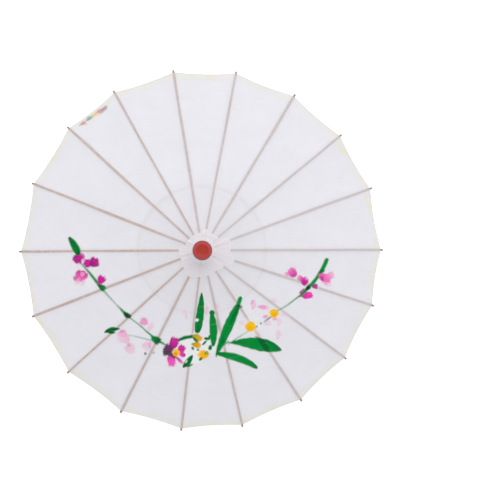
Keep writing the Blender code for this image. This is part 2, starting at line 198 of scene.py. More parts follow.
def placed(name, data):
    """New object in the scene that holds a mesh, curve, light or camera."""
    made = bpy.data.objects.new(name, data)
    bpy.context.scene.collection.objects.link(made)
    return made


def mesh_from(bm, name):
    mesh = bpy.data.meshes.new(name)
    bm.to_mesh(mesh)
    bm.free()
    return mesh


def object_from(bm, name):
    bmesh.ops.recalc_face_normals(bm, faces=bm.faces)
    return placed(name, mesh_from(bm, name))


def evaluated_mesh(obj):
    """Mesh of an object with its modifiers or its curve's bevel applied."""
    bpy.context.view_layer.update()
    return bpy.data.meshes.new_from_object(obj.evaluated_get(bpy.context.evaluated_depsgraph_get()))


def smooth(mesh, angle):
    """Shade smooth, apart from edges sharper than an angle in degrees."""
    mesh.shade_smooth()
    mesh.set_sharp_from_angle(angle=math.radians(angle))


def settle(obj, angle=35):
    """Apply the object's modifiers and shade it smooth up to an angle."""
    mesh = evaluated_mesh(obj)
    obj.modifiers.clear()
    obj.data = mesh
    smooth(mesh, angle)


def boolean(target, tool, operation):
    """Cut or join one tool, made in the target's own axes, and remove it."""
    tool.matrix_world = target.matrix_world
    modifier = target.modifiers.new(tool.name, "BOOLEAN")
    modifier.operation = operation
    modifier.object = tool
    settle(target)
    bpy.data.objects.remove(tool, do_unlink=True)


def bevel(obj, width, segments=2, angle=30):
    modifier = obj.modifiers.new("Bevel", "BEVEL")
    modifier.width = width
    modifier.segments = segments
    modifier.limit_method = "ANGLE"
    modifier.angle_limit = math.radians(angle)


def lathe(name, profile, steps=64, closed=False):
    """Turned piece from (radius, z) points, outer side from the top down."""
    bm = bmesh.new()
    points = [bm.verts.new((radius, 0, z)) for radius, z in profile]
    for first, second in zip(points, points[1:]):
        bm.edges.new((first, second))
    if closed:
        bm.edges.new((points[-1], points[0]))
    made = placed(name, mesh_from(bm, name))
    spin = made.modifiers.new("Spin", "SCREW")
    spin.steps = spin.render_steps = steps
    spin.use_merge_vertices = True
    spin.merge_threshold = 0.00001
    return made


def softened(profile, radius, points=4):
    """The profile with its inner corners rounded by short arcs."""
    out = [profile[0]]
    for before, corner, after in zip(profile, profile[1:], profile[2:]):
        before, corner, after = Vector(before), Vector(corner), Vector(after)
        back, ahead = before - corner, after - corner
        cut = min(radius, back.length / 2.2, ahead.length / 2.2)
        start, end = corner + back.normalized() * cut, corner + ahead.normalized() * cut
        for step in range(points + 1):
            t = step / points
            out.append(tuple((1 - t) ** 2 * start + 2 * t * (1 - t) * corner + t ** 2 * end))
    out.append(profile[-1])
    return out


def cross_disc(name, radius, width, x=0.0, z=0.0, sides=20):
    """Disc with its axis along Y."""
    bm = bmesh.new()
    place = Matrix.Translation((x, 0, z)) @ Matrix.Rotation(math.pi / 2, 4, "X")
    bmesh.ops.create_cone(bm, cap_ends=True, segments=sides, radius1=radius, radius2=radius,
                          depth=width, matrix=place)
    return object_from(bm, name)


def block(name, low, high):
    """Box between two corners."""
    bm = bmesh.new()
    low, high = Vector(low), Vector(high)
    size = Matrix.Diagonal((*(high - low), 1))
    bmesh.ops.create_cube(bm, size=1, matrix=Matrix.Translation((low + high) / 2) @ size)
    return object_from(bm, name)


def wire(name, points, radius, cyclic=False, resolution=2):
    """Closed tube mesh along points."""
    curve = bpy.data.curves.new(name, "CURVE")
    curve.dimensions = "3D"
    curve.bevel_depth = radius
    curve.bevel_resolution = resolution
    curve.use_fill_caps = True
    line = curve.splines.new("POLY")
    line.points.add(len(points) - 1)
    for point, place in zip(line.points, points):
        point.co = (*place, 1)
    line.use_cyclic_u = cyclic
    guide = placed(name + "_guide", curve)
    mesh = evaluated_mesh(guide)
    bpy.data.objects.remove(guide, do_unlink=True)
    bm = bmesh.new()
    bm.from_mesh(mesh)
    bmesh.ops.remove_doubles(bm, verts=bm.verts, dist=0.00001)
    bpy.data.meshes.remove(mesh)
    made = object_from(bm, name)
    smooth(made.data, 50)
    return made


def polar(points):
    """Azimuth and distance from the axis of points in plan."""
    return np.arctan2(points[..., 1], points[..., 0]), np.hypot(points[..., 0], points[..., 1])


def smoothstep(low, high, value):
    t = np.clip((value - low) / (high - low), 0, 1)
    return t * t * (3 - 2 * t)


def ripple(points, scale, seed):
    """Smooth noise between -1 and 1 from waves in fixed directions; the same at every shared point."""
    waves = random.Random(seed)
    total = np.zeros(points.shape[:-1])
    count = 7
    for _ in range(count):
        angle = waves.uniform(0, 2 * math.pi)
        length = scale * waves.uniform(0.6, 1.7)
        phase = waves.uniform(0, 2 * math.pi)
        across = points[..., 0] * math.cos(angle) + points[..., 1] * math.sin(angle)
        total += np.sin(across * 2 * math.pi / length + phase)
    return total / count * 1.6


# ---------------------------------------------------------------- the painted flower spray, in millimetres

GREEN = (0.001, 0.275, 0.044)
LEAF_DARK = (0.001, 0.075, 0.018)
MAGENTA = (0.57, 0.014, 0.30)
PURPLE = (0.20, 0.02, 0.16)
ROSE = (0.86, 0.20, 0.52)
PINK = (0.90, 0.42, 0.66)
PALE_PINK = (0.88, 0.62, 0.76)
YELLOW = (0.96, 0.55, 0.01)
ORANGE = (0.86, 0.26, 0.01)
WHITE_PAINT = (0.86, 0.88, 0.90)


def blended(first, second, share):
    """Colours between two, one for each share."""
    return np.asarray(first) * (1 - share) + np.asarray(second) * share


class Painting:
    """Paint built up stroke by stroke over points of the cloth."""

    def __init__(self, points):
        self.x = points[..., 0].ravel() / MM
        self.y = points[..., 1].ravel() / MM
        self.colour = np.zeros((self.x.size, 3))
        self.cover = np.zeros(self.x.size)
        plan = np.stack([self.x, self.y], axis=-1)
        self.grain = ripple(plan, 9.0, 3)
        self.fine = ripple(plan, 2.6, 5)

    def lay(self, mask, colour):
        """Lay paint over what is there; colour is one colour or one for each point."""
        mask = np.clip(mask, 0, 1)
        self.colour = self.colour * (1 - mask[:, None]) + np.asarray(colour) * mask[:, None]
        self.cover = self.cover + (1 - self.cover) * mask

    def petal(self, at, size, angle, base, edge, strength=1.0, soft=0.22, taper=0.3):
        """Rounded petal: size is (half length, half width); colour runs from its base to its edge."""
        turn = math.radians(angle)
        dx, dy = self.x - at[0], self.y - at[1]
        along = (dx * math.cos(turn) + dy * math.sin(turn)) / size[0]
        across = (dy * math.cos(turn) - dx * math.sin(turn)) / size[1]
        across = across / (1 + taper * np.clip(along, -1, 1))
        bristles = np.sin(across * 9 + 2 * self.grain) * np.clip(along + 0.3, 0, 1)
        radius = np.hypot(along, across) + 0.12 * self.grain + 0.10 * self.fine + 0.07 * bristles
        mask = smoothstep(1 + soft / 2, 1 - soft, radius) * strength
        mask *= 1 - 0.35 * np.clip(self.fine + 0.6 * bristles, 0, 1) * (1.15 - strength)
        mix = np.clip((along + 1) / 2 + 0.18 * self.fine + 0.15 * bristles, 0, 1)[:, None]
        self.lay(mask, blended(base, edge, mix))

    def dot(self, at, radius, colour, strength=1.0):
        """Round spot."""
        far = np.hypot(self.x - at[0], self.y - at[1]) / radius + 0.12 * self.grain
        self.lay(smoothstep(1.12, 0.85, far) * strength, colour)

    def leaf(self, start, end, width, bend=0.0, blunt=0.5, dark=0.0, vein=0.25, peak=0.45):
        """Brush-stroke leaf between two points, widest at peak; bend swings its middle to the left."""
        sx, sy = start
        length = math.hypot(end[0] - sx, end[1] - sy)
        ux, uy = (end[0] - sx) / length, (end[1] - sy) / length
        along = ((self.x - sx) * ux + (self.y - sy) * uy) / length
        swing = bend * 4 * along * (1 - along)
        across = (self.y - sy) * ux - (self.x - sx) * uy - swing
        inside = np.clip(along, 0, 1)
        swell = np.sin(math.pi * inside ** (math.log(0.5) / math.log(peak)))
        half = width / 2 * np.maximum(swell, 0) ** (1 - 0.45 * blunt) * (1 + 0.06 * self.grain)
        mask = smoothstep(0.7, -0.5, np.abs(across) - half) * smoothstep(-0.01, 0.02, along)
        mask *= smoothstep(1.01, 0.98, along)
        streak = 0.5 + 0.5 * np.sin(across * 1.9 + self.grain * 2)
        ends = (1 - np.sin(math.pi * inside)) ** 2
        middle = np.abs(across) < 0.12 * width
        tone = np.clip(dark + 0.3 * streak + vein * middle + 0.4 * ends - 0.1, 0, 1)[:, None]
        self.lay(mask, blended(GREEN, LEAF_DARK, tone))

    def stroke(self, route, colour):
        """Brushed line through (x, y, width, strength) points."""
        best = np.full(self.x.size, -1e9)
        power = np.zeros(self.x.size)
        for (ax, ay, aw, ap), (bx, by, bw, bp) in zip(route, route[1:]):
            span = (bx - ax) ** 2 + (by - ay) ** 2
            t = np.clip(((self.x - ax) * (bx - ax) + (self.y - ay) * (by - ay)) / span, 0, 1)
            far = np.hypot(self.x - ax - t * (bx - ax), self.y - ay - t * (by - ay))
            edge = (aw + (bw - aw) * t) / 2 * (1 + 0.12 * self.grain) - far
            better = edge > best
            best = np.where(better, edge, best)
            power = np.where(better, ap + (bp - ap) * t, power)
        self.lay(smoothstep(-0.75, 0.55, best) * power, colour)


def paint_left_branch(petal, leaf, stroke, dot):
    """The long stem from the left rim, with magenta blossoms above it and pale ones below."""
    stroke([(-203, -10, 1.6, .7), (-187, -28, 2.4, .7), (-178, -38, 3.6, .95), (-164, -56, 4.4, 1)], GREEN)
    stroke([(-164, -56, 5.0, .8), (-152, -70, 3.0, .55), (-136, -88, 1.7, .5), (-127, -97, 3.6, .9),
            (-119, -105, 5.6, 1)], GREEN)
    stroke([(-119, -105, 2.0, .8), (-100, -120, 1.8, .75), (-82, -136, 2.6, .9), (-72, -144, 5.5, 1),
            (-57, -153, 1.8, .9)], GREEN)
    petal((-158.5, -61), (7.5, 5.0), -40, LEAF_DARK, GREEN)
    petal((-118.5, -105), (7.5, 4.4), -35, LEAF_DARK, LEAF_DARK)
    petal((-72.5, -144.5), (8.5, 6.0), -30, GREEN, LEAF_DARK)
    petal((-197, -14), (9, 8.0), -100, PURPLE, MAGENTA)
    petal((-192, -12), (6.5, 5.5), 20, MAGENTA, MAGENTA, 0.9)
    leaf((-194.5, -9), (-211.5, 20), 11.5, bend=-1.0, blunt=1.1, dark=0.3, peak=0.4)
    petal((-181, -22), (7.5, 6.8), 200, MAGENTA, MAGENTA)
    petal((-171, -21), (8.6, 8.6), 60, PURPLE, MAGENTA)
    petal((-173, -23), (5.5, 4.5), 10, PURPLE, MAGENTA, 0.75)
    petal((-192, -43), (9.6, 10.0), 70, ROSE, MAGENTA)
    petal((-190, -40), (4.2, 3.6), 70, PINK, PINK, 0.7)
    petal((-201, -47), (4.8, 3.4), 110, MAGENTA, MAGENTA, 0.8)
    petal((-197, -50), (6.5, 4.0), 245, ROSE, PALE_PINK, 0.7)
    petal((-189, -53), (5.5, 3.2), 250, PINK, PALE_PINK, 0.6)
    petal((-160, -49), (7.6, 7.0), 60, MAGENTA, MAGENTA)
    stroke([(-116, -137, 1.2, .35), (-98, -141, 1.3, .6), (-78, -146, 1.5, .7)], (0.05, 0.28, 0.14))
    leaf((-155, -133), (-129, -127), 7.5, bend=2.0, blunt=0.2, dark=0.5)
    leaf((-153, -129), (-136, -133), 5.0, bend=-1.5, blunt=0.1, dark=0.6)
    petal((-125, -135), (7.5, 6.0), 140, ROSE, ROSE, 0.85)
    petal((-123, -142), (11, 8.5), 150, PINK, PALE_PINK, 0.75)
    petal((-113, -160), (9.5, 7.4), 130, PALE_PINK, PINK, 0.65)
    petal((-116, -153), (3.4, 2.4), 120, (0.35, 0.22, 0.30), PINK, 0.6)
    petal((-91, -116), (7.2, 6.0), 150, ROSE, ROSE, 0.75)
    petal((-81, -124), (7.6, 4.6), 60, PINK, PALE_PINK, 0.55)
    petal((-86, -155), (8.0, 7.0), 120, PALE_PINK, PINK, 0.6)
    petal((-82, -151), (4.0, 2.6), 40, ROSE, PINK, 0.6)
    dot((-89, -166.5), 2.2, (0.10, 0.16, 0.13), 0.8)
    dot((-76, -165.5), 1.9, (0.25, 0.34, 0.30), 0.6)
    dot((-82, -156), 1.8, (0.40, 0.30, 0.34), 0.5)


def paint_centre(petal, leaf, stroke, dot):
    """The large magenta and yellow blossoms on white, and the long leaves that fan out from them."""
    petal((-14, -160), (24, 27), 0, WHITE_PAINT, WHITE_PAINT, 0.95, soft=0.3, taper=0)
    petal((14, -152), (14, 16), 0, WHITE_PAINT, WHITE_PAINT, 0.75, soft=0.4, taper=0)
    stroke([(-41, -147, 4.0, 1), (-26, -141.5, 5.6, 1), (-13, -139, 5.0, 1)], (0.001, 0.17, 0.035))
    petal((-54, -162), (11, 7.6), 60, (0.03, 0.06, 0.05), PURPLE)
    petal((-48, -170), (9.5, 5.2), -45, (0.04, 0.05, 0.06), PURPLE)
    petal((-44, -151), (11.0, 7.6), 70, PURPLE, MAGENTA)
    petal((-43, -150), (7.0, 4.0), 70, MAGENTA, (0.76, 0.03, 0.42), 0.8)
    petal((-32, -160.5), (8.4, 6.2), 60, (0.72, 0.02, 0.36), MAGENTA)
    petal((-31, -168), (6.4, 4.4), -25, (0.80, 0.08, 0.46), MAGENTA)
    petal((-48, -179), (9.4, 6.6), -60, (0.80, 0.05, 0.42), (0.90, 0.13, 0.54))
    petal((-35, -177), (8.6, 2.6), -45, MAGENTA, ROSE)
    dot((-40, -166), 6.0, YELLOW)
    dot((-41, -168), 3.2, ORANGE, 0.8)
    petal((-6, -141), (9.0, 5.4), -20, (0.33, 0.34, 0.01), (0.94, 0.40, 0.01))
    petal((-7.5, -153), (8.6, 4.8), -10, (0.45, 0.30, 0.01), (0.94, 0.40, 0.01))
    petal((4, -169), (9.0, 7.8), 190, (0.85, 0.42, 0.01), YELLOW)
    petal((8.5, -166.5), (4, 2.8), 20, (0.10, 0.24, 0.01), (0.45, 0.40, 0.01), 0.85)
    for start, end, width in (
        ((-13, -141), (-4.5, -149.5), 4.2), ((-15, -156), (-11.5, -161), 3.6),
        ((-7, -160.5), (-3, -161.5), 3.2), ((4.5, -142.5), (15, -144), 5.0),
        ((14, -137), (12.5, -145), 3.6), ((2, -153.5), (9.5, -146), 3.4), ((13.5, -162), (16, -153), 5.8),
        ((-3, -178.5), (2, -173.5), 4.0), ((-23, -188.5), (-12.5, -183.5), 2.6),
    ):
        leaf(start, end, width, blunt=0.7, dark=0.35, vein=0)
    leaf((-29, -189), (-13.5, -169), 9.0, bend=-1.0, blunt=0.8, dark=0.4)
    petal((-24, -180), (3.0, 1.4), 50, WHITE_PAINT, WHITE_PAINT, 0.8)
    leaf((-6.5, -134.5), (1, -69), 12.6, bend=-1.5, blunt=0.95, dark=0.2, peak=0.33, vein=0.1)
    petal((-7, -113), (3.6, 2.4), 0, WHITE_PAINT, WHITE_PAINT, 0.9)
    leaf((19.5, -156), (16.8, -101), 11.8, bend=-1.5, blunt=1.2, dark=0.0, peak=0.5, vein=0.1)
    dot((17.9, -101.5), 4.4, (0.001, 0.20, 0.035))
    stroke([(24, -112, 2.0, .4), (26.5, -124, 4.0, .45), (24.5, -138, 2.0, .4)], (0.03, 0.20, 0.06))
    leaf((23.5, -171), (62.5, -82), 14.6, bend=0.5, blunt=0.9, dark=0.0, peak=0.55, vein=0.1)
    stroke([(59, -89, 6.0, 1), (63, -78.5, 6.6, 1)], GREEN)
    stroke([(57, -96, 3.5, .3), (60, -92, 7.0, .75), (64, -92, 4.5, .7)], LEAF_DARK)
    stroke([(45, -124, 2.0, .2), (54, -104, 4.5, .6), (58, -98, 2.0, .3)], LEAF_DARK)
    stroke([(27, -165, 2.0, .4), (34, -150, 5.0, .5), (37, -138, 2.0, .2)], LEAF_DARK)
    stroke([(24, -172, 1.5, .9), (34, -153, 4.5, .9), (44, -148, 3.0, .6)], GREEN)
    leaf((42, -150), (130, -162), 21.0, bend=5.0, blunt=0.5, dark=0.0, peak=0.6, vein=0.12)
    stroke([(88, -140, 3.0, .45), (98, -148, 8.0, .7), (105, -160, 9.0, .65)], LEAF_DARK)
    stroke([(96, -143, 2.0, .45), (112, -150, 2.6, .5), (126, -158, 1.6, .4)], LEAF_DARK)
    leaf((25, -167), (91, -191), 11.6, bend=4.6, blunt=1.35, dark=0.0, peak=0.5, vein=0.1)
    petal((-25, -104), (8.5, 3.6), 110, PINK, PALE_PINK, 0.40)
    petal((9, -98), (7.2, 2.6), 80, PINK, PINK, 0.55)
    petal((25, -92), (5.5, 3.4), 60, PALE_PINK, PINK, 0.35)


def paint_right_branch(petal, stroke, dot):
    """The pale pink blossoms with yellow middles, and the stem up to the right rim."""
    petal((80, -122), (17, 15), 20, WHITE_PAINT, WHITE_PAINT, 0.55, soft=0.6, taper=0)
    petal((122, -112), (19, 22), -50, WHITE_PAINT, WHITE_PAINT, 0.45, soft=0.7, taper=0)
    stroke([(44, -152, 1.2, .7), (57, -143, 1.4, .7), (78, -130, 1.3, .45)], GREEN)
    stroke([(83, -128.5, 2.8, .8), (90, -123, 1.8, .75)], LEAF_DARK)
    dot((96, -118.7), 1.7, LEAF_DARK, 0.75)
    stroke([(101, -116.5, 1.4, .5), (106, -113, 2.8, .85), (112, -108.5, 2.2, .8)], (0.01, 0.20, 0.06))
    stroke([(121, -99, 1.8, .7), (138, -90, 2.0, .7), (162, -72, 2.4, .9)], GREEN)
    for at, size, angle, strength in (
        ((84, -89), (8.2, 3.6), 80, .75), ((100, -93), (10, 4.2), -8, .8), ((116, -83), (5.2, 3.6), 10, .45),
        ((104, -108), (5.6, 3.2), 20, .7), ((107, -119), (7, 3.8), 10, .5), ((124, -137), (8.2, 4.0), 80, .5),
        ((121, -113), (6.4, 3.0), 0, .55), ((126, -118), (7.5, 4.0), 60, .4), ((66, -118), (5.4, 4.0), 0, .3),
        ((133, -104), (6.4, 5.0), 30, .3), ((92, -136), (6.2, 3.4), 100, .3),
    ):
        petal(at, size, angle, PINK, PALE_PINK, strength)
    for at, size, angle in (((98, -92.5), (7.0, 3.0), -8), ((103, -107.5), (5.0, 2.6), 10),
                            ((118.5, -111.5), (4.0, 2.0), 10), ((82, -85), (4.2, 2.0), 50)):
        petal(at, size, angle, ROSE, ROSE, 0.55)
    dot((79.3, -123.5), 8.2, YELLOW)
    dot((77.5, -126), 4.4, (0.93, 0.42, 0.01), 0.6)
    dot((117, -103), 7.4, YELLOW)
    dot((118, -105), 3.8, (0.90, 0.36, 0.01), 0.6)
    petal((169, -73.5), (10.0, 6.6), -10, MAGENTA, (0.93, 0.06, 0.50))
    petal((163, -68), (6, 4), 30, PURPLE, MAGENTA, 0.9)
    stroke([(160, -75, 3.0, 1), (171, -62, 5.4, 1), (183, -50, 5.0, 1), (195, -33, 6.4, 1),
            (202, -17, 6.2, 1)], GREEN)
    petal((171, -62), (4.8, 3.6), 45, LEAF_DARK, LEAF_DARK)
    petal((194, -35), (5.2, 3.8), 60, LEAF_DARK, GREEN, 0.9)
    petal((147, -37.5), (8.4, 8.4), 120, MAGENTA, ROSE)
    petal((139, -40), (4.6, 3.0), 170, ROSE, ROSE, 0.7)
    petal((166, -51.5), (7.4, 6.4), 100, MAGENTA, MAGENTA)
    petal((169, -47), (3.2, 2.6), 60, PINK, PINK, 0.6)
    petal((160, -47), (6.2, 4.6), 160, MAGENTA, ROSE, 0.85)
    petal((182.5, -59), (5.0, 4.4), 0, PURPLE, MAGENTA, 0.95)
    petal((199, -46), (11, 8.4), -30, (0.90, 0.09, 0.50), ROSE)
    petal((194, -47), (5.0, 3.4), 120, PURPLE, MAGENTA, 0.7)
    petal((203, -56), (7.0, 3.4), -10, PINK, PALE_PINK, 0.6)
    petal((207, -42), (7.4, 5.4), 20, ROSE, PINK, 0.85)


def paint_dabs(petal, dot):
    """A few plain dabs of leftover colour near the rim."""
    red = (0.62, 0.05, 0.03)
    for at, colour in (((-155, 225.5), (0.22, 0.14, 0.10)), ((-161.5, 221.5), red), ((-170, 216), YELLOW),
                       ((-179.5, 209), GREEN), ((-189, 201.5), red)):
        petal(at, (5.6, 2.8), 36, colour, colour, 0.62)
    dot((117, 241), 1.5, PURPLE, 0.5)


PAINT_SHIFT = (-1.0 * MM, 1.0 * MM)  # moves the whole spray on the cloth
SPRAY_START, SPRAY_SPREAD = 168, 194  # degrees, anticlockwise from +X


def painted(points):
    """Paint colours and cover of points. The spray is laid out as seen by the camera, at the rim's scale."""
    closer = (CAMERA_PLACE.z - RIDGE_OUT.z) / (CAMERA_PLACE.z - points[..., 2])
    eye = np.array(CAMERA_PLACE.xy)
    art = Painting(eye + (points[..., :2] - eye) * closer[..., None] - np.array(PAINT_SHIFT))
    paint_left_branch(art.petal, art.leaf, art.stroke, art.dot)
    paint_centre(art.petal, art.leaf, art.stroke, art.dot)
    paint_right_branch(art.petal, art.stroke, art.dot)
    paint_dabs(art.petal, art.dot)
    colour = art.colour / np.maximum(art.cover, 0.001)[:, None]
    return np.concatenate([colour, art.cover[:, None]], axis=1)


def is_painted(azimuth):
    """True for a direction whose cloth holds fine strokes: the left, near and right sides."""
    return (math.degrees(azimuth) - SPRAY_START) % 360 < SPRAY_SPREAD


# ---------------------------------------------------------------- materials

def linear(red, green, blue):
    """Linear colour from 8-bit display values."""
    values = [channel / 255 for channel in (red, green, blue)]
    return tuple(v / 12.92 if v <= 0.04045 else ((v + 0.055) / 1.055) ** 2.4 for v in values) + (1,)


def shaded(colour, factor):
    """Colour made darker or lighter by a factor."""
    return tuple(min(1, value * factor) for value in colour[:3]) + (1,)


class Look:
    """A material's node tree, built by short calls that return sockets.

    Its patterns lie in the object's own space, or in the cloth's at rest if on_rest is true.
    """

    def __init__(self, name, on_rest=False):
        self.material = bpy.data.materials.new(name)
        self.material.use_nodes = True
        self.tree = self.material.node_tree
        self.shader = self.tree.nodes["Principled BSDF"]
        self.surface = self.tree.nodes["Material Output"].inputs["Surface"]
        self.space = self.attribute("rest") if on_rest else self.node("TexCoord", {}, "Object")

    def put(self, socket, value):
        if isinstance(value, bpy.types.NodeSocket):
            self.tree.links.new(value, socket)
        else:
            socket.default_value = value

    def node(self, kind, inputs, output=0, **settings):
        made = self.tree.nodes.new("ShaderNode" + kind)
        for key, value in settings.items():
            setattr(made, key, value)
        for key, value in inputs.items():
            self.put(made.inputs[key], value)
        return made.outputs[output]

    def finish(self, **inputs):
        for key, value in inputs.items():
            self.put(self.shader.inputs[key.replace("_", " ")], value)
        return self.material

    def attribute(self, name, output="Vector"):
        return self.node("Attribute", {}, output, attribute_name=name)

    def stretched(self, factors, turn=0.0):
        """The space with its axes scaled, so that a small factor draws a pattern out along its axis."""
        return self.node("Mapping", {"Vector": self.space, "Scale": factors, "Rotation": (0, 0, turn)})

    def noise(self, scale, detail=4.0, roughness=0.55, factors=None, turn=0.0):
        vector = self.stretched(factors, turn) if factors else self.space
        return self.node("TexNoise", {"Vector": vector, "Scale": scale, "Detail": detail,
                                      "Roughness": roughness}, "Fac")

    def ramp(self, factor, stops):
        made = self.tree.nodes.new("ShaderNodeValToRGB")
        elements = made.color_ramp.elements
        for _ in stops[len(elements):]:
            elements.new(0.5)
        for element, (place, colour) in zip(elements, stops):
            element.position = place
            element.color = colour if isinstance(colour, tuple) else (colour, colour, colour, 1)
        self.put(made.inputs["Fac"], factor)
        return made.outputs["Color"]

    def mix(self, factor, first, second):
        return self.node("Mix", {0: factor, 6: first, 7: second}, 2, data_type="RGBA")

    def maths(self, operation, first, second):
        return self.node("Math", {0: first, 1: second}, operation=operation)

    def plus(self, first, second):
        return self.maths("ADD", first, second)

    def times(self, first, second):
        return self.maths("MULTIPLY", first, second)

    def minus(self, first, second):
        return self.maths("SUBTRACT", first, second)

    def weighted(self, first, share, second, rest):
        return self.plus(self.times(first, share), self.times(second, rest))

    def bump(self, height, strength, distance):
        return self.node("Bump", {"Height": height, "Strength": strength, "Distance": distance})


def bamboo(name, light, dark, along=0, roughness=(0.42, 0.62), fibre=900.0, tips=None):
    """Split or turned bamboo: long fibres along one axis, blotches, and small dark vessels.

    tips, if any, holds where along X the bare, weathered end begins and is complete, and its colour.
    """
    look = Look(name)
    fine, soft = (tuple(share if axis == along else 1.0 for axis in range(3)) for share in (0.02, 0.12))
    long_fibres = look.noise(fibre, 3, 0.6, fine)
    blotches = look.noise(120.0, factors=soft)
    tone = look.weighted(long_fibres, 0.55, blotches, 0.45)
    shift = look.times(look.minus(look.node("ObjectInfo", {}, "Random"), 0.5), 0.16)
    between = tuple((a + b) / 2 for a, b in zip(dark, light))
    colour = look.ramp(look.plus(tone, shift), [(0.30, dark), (0.52, between), (0.72, light)])
    vessels = look.noise(fibre * 3, 1, 0.4, tuple(0.4 * value for value in fine))
    specks = look.ramp(vessels, [(0.62, 0.0), (0.74, 1.0)])
    colour = look.mix(look.times(specks, 0.35), colour, shaded(dark, 0.45))
    if tips is not None:
        place = look.node("SeparateXYZ", {"Vector": look.space}, "X")
        near_tip = look.node("MapRange", {"Value": place, "From Min": tips[0], "From Max": tips[1]})
        colour = look.mix(near_tip, colour, tips[2])
    height = look.plus(long_fibres, look.times(specks, -0.4))
    shine = look.ramp(blotches, [(0.3, roughness[0]), (0.7, roughness[1])])
    return look.finish(Base_Color=colour, Roughness=shine, Normal=look.bump(height, 0.45, 0.0003),
                       Specular_IOR_Level=0.4)


def turned_wood(name, light, dark, coat=0.0):
    """Turned hardwood with rings from the lathe, grain lines and worn, slightly paler edges."""
    look = Look(name)
    grain = look.noise(420.0, 5, 0.62, (1, 1, 0.06))
    bands = look.noise(1500.0, 2, factors=(0.02, 0.02, 1))
    tone = look.weighted(grain, 0.8, bands, 0.2)
    colour = look.ramp(tone, [(0.33, dark), (0.68, light)])
    worn = look.node("NewGeometry", {}, "Pointiness")
    edges = look.ramp(worn, [(0.52, 0.0), (0.60, 1.0)])
    colour = look.mix(look.times(edges, 0.35), colour, shaded(light, 1.5))
    height = look.plus(grain, look.times(bands, 0.8))
    return look.finish(Base_Color=colour, Roughness=look.ramp(grain, [(0.3, 0.38), (0.7, 0.55)]),
                       Normal=look.bump(height, 0.35, 0.0003), Coat_Weight=coat, Coat_Roughness=0.2)


LACQUER_REACH = 16 * MM  # the radius at which red_lacquer's rings of colour end


def red_lacquer():
    """Lacquer: an orange-red dished top, darker at its centre, a painted highlight on the bevel, painted
    shade on the rim below, brush marks and small chips.
    """
    look = Look("red_lacquer")
    spread = look.node("VectorMath", {0: look.stretched((1, 1, 0))}, "Value", operation="LENGTH")
    radius = look.times(spread, 1 / LACQUER_REACH)
    wobble = look.times(look.minus(look.noise(260.0, 3), 0.5), 0.10)
    # Rings of colour out from the axis: darker and browner at the centre, orange-red over the top, then a
    # lighter rosy ring that is a painted highlight on the bevel, and a dark ring that is painted shade on the
    # knob's sloping side.
    stops = [
        (0.0, linear(150, 52, 32)), (0.22, linear(172, 52, 32)), (0.54, linear(174, 42, 32)),
        (0.60, linear(188, 58, 56)), (0.78, linear(186, 54, 58)), (0.90, linear(100, 20, 26)),
    ]
    colour = look.ramp(look.plus(radius, wobble), stops)
    brushed = look.noise(700.0, 3, factors=(0.25, 1, 1))
    colour = look.mix(look.times(brushed, 0.18), colour, linear(110, 30, 22))
    chips = look.ramp(look.noise(900.0, 2), [(0.70, 0.0), (0.74, 1.0)])
    colour = look.mix(look.times(chips, 0.5), colour, linear(196, 132, 92))
    height = look.minus(look.times(brushed, 0.5), chips)
    return look.finish(Base_Color=colour, Roughness=look.ramp(brushed, [(0.3, 0.30), (0.7, 0.44)]),
                       Normal=look.bump(height, 0.22, 0.0003), Coat_Weight=0.12, Coat_Roughness=0.3,
                       Specular_IOR_Level=0.25)


def steel_wire():
    """Drawn wire with fine scratches and duller, browner patches."""
    look = Look("steel_wire")
    drawn = look.noise(1800.0, 3)
    dull = look.ramp(look.noise(240.0, 3), [(0.42, linear(150, 148, 146)), (0.66, linear(96, 84, 72))])
    return look.finish(Base_Color=dull, Metallic=0.9, Roughness=look.ramp(drawn, [(0.3, 0.32), (0.7, 0.5)]),
                       Normal=look.bump(drawn, 0.2, 0.0001))


def cotton_thread(name, light, dark):
    """Twisted cotton: slanting plies, fuzz and an uneven dye."""
    look = Look(name)
    plies = look.node("TexWave", {"Vector": look.stretched((1, 1, 1), 0.7), "Scale": 1400.0,
                                  "Distortion": 3.0}, "Fac")
    dye = look.noise(500.0, 3)
    colour = look.ramp(look.weighted(plies, 0.5, dye, 0.5), [(0.3, dark), (0.7, light)])
    return look.finish(Base_Color=colour, Roughness=0.85, Sheen_Weight=0.3,
                       Normal=look.bump(plies, 0.5, 0.0002))


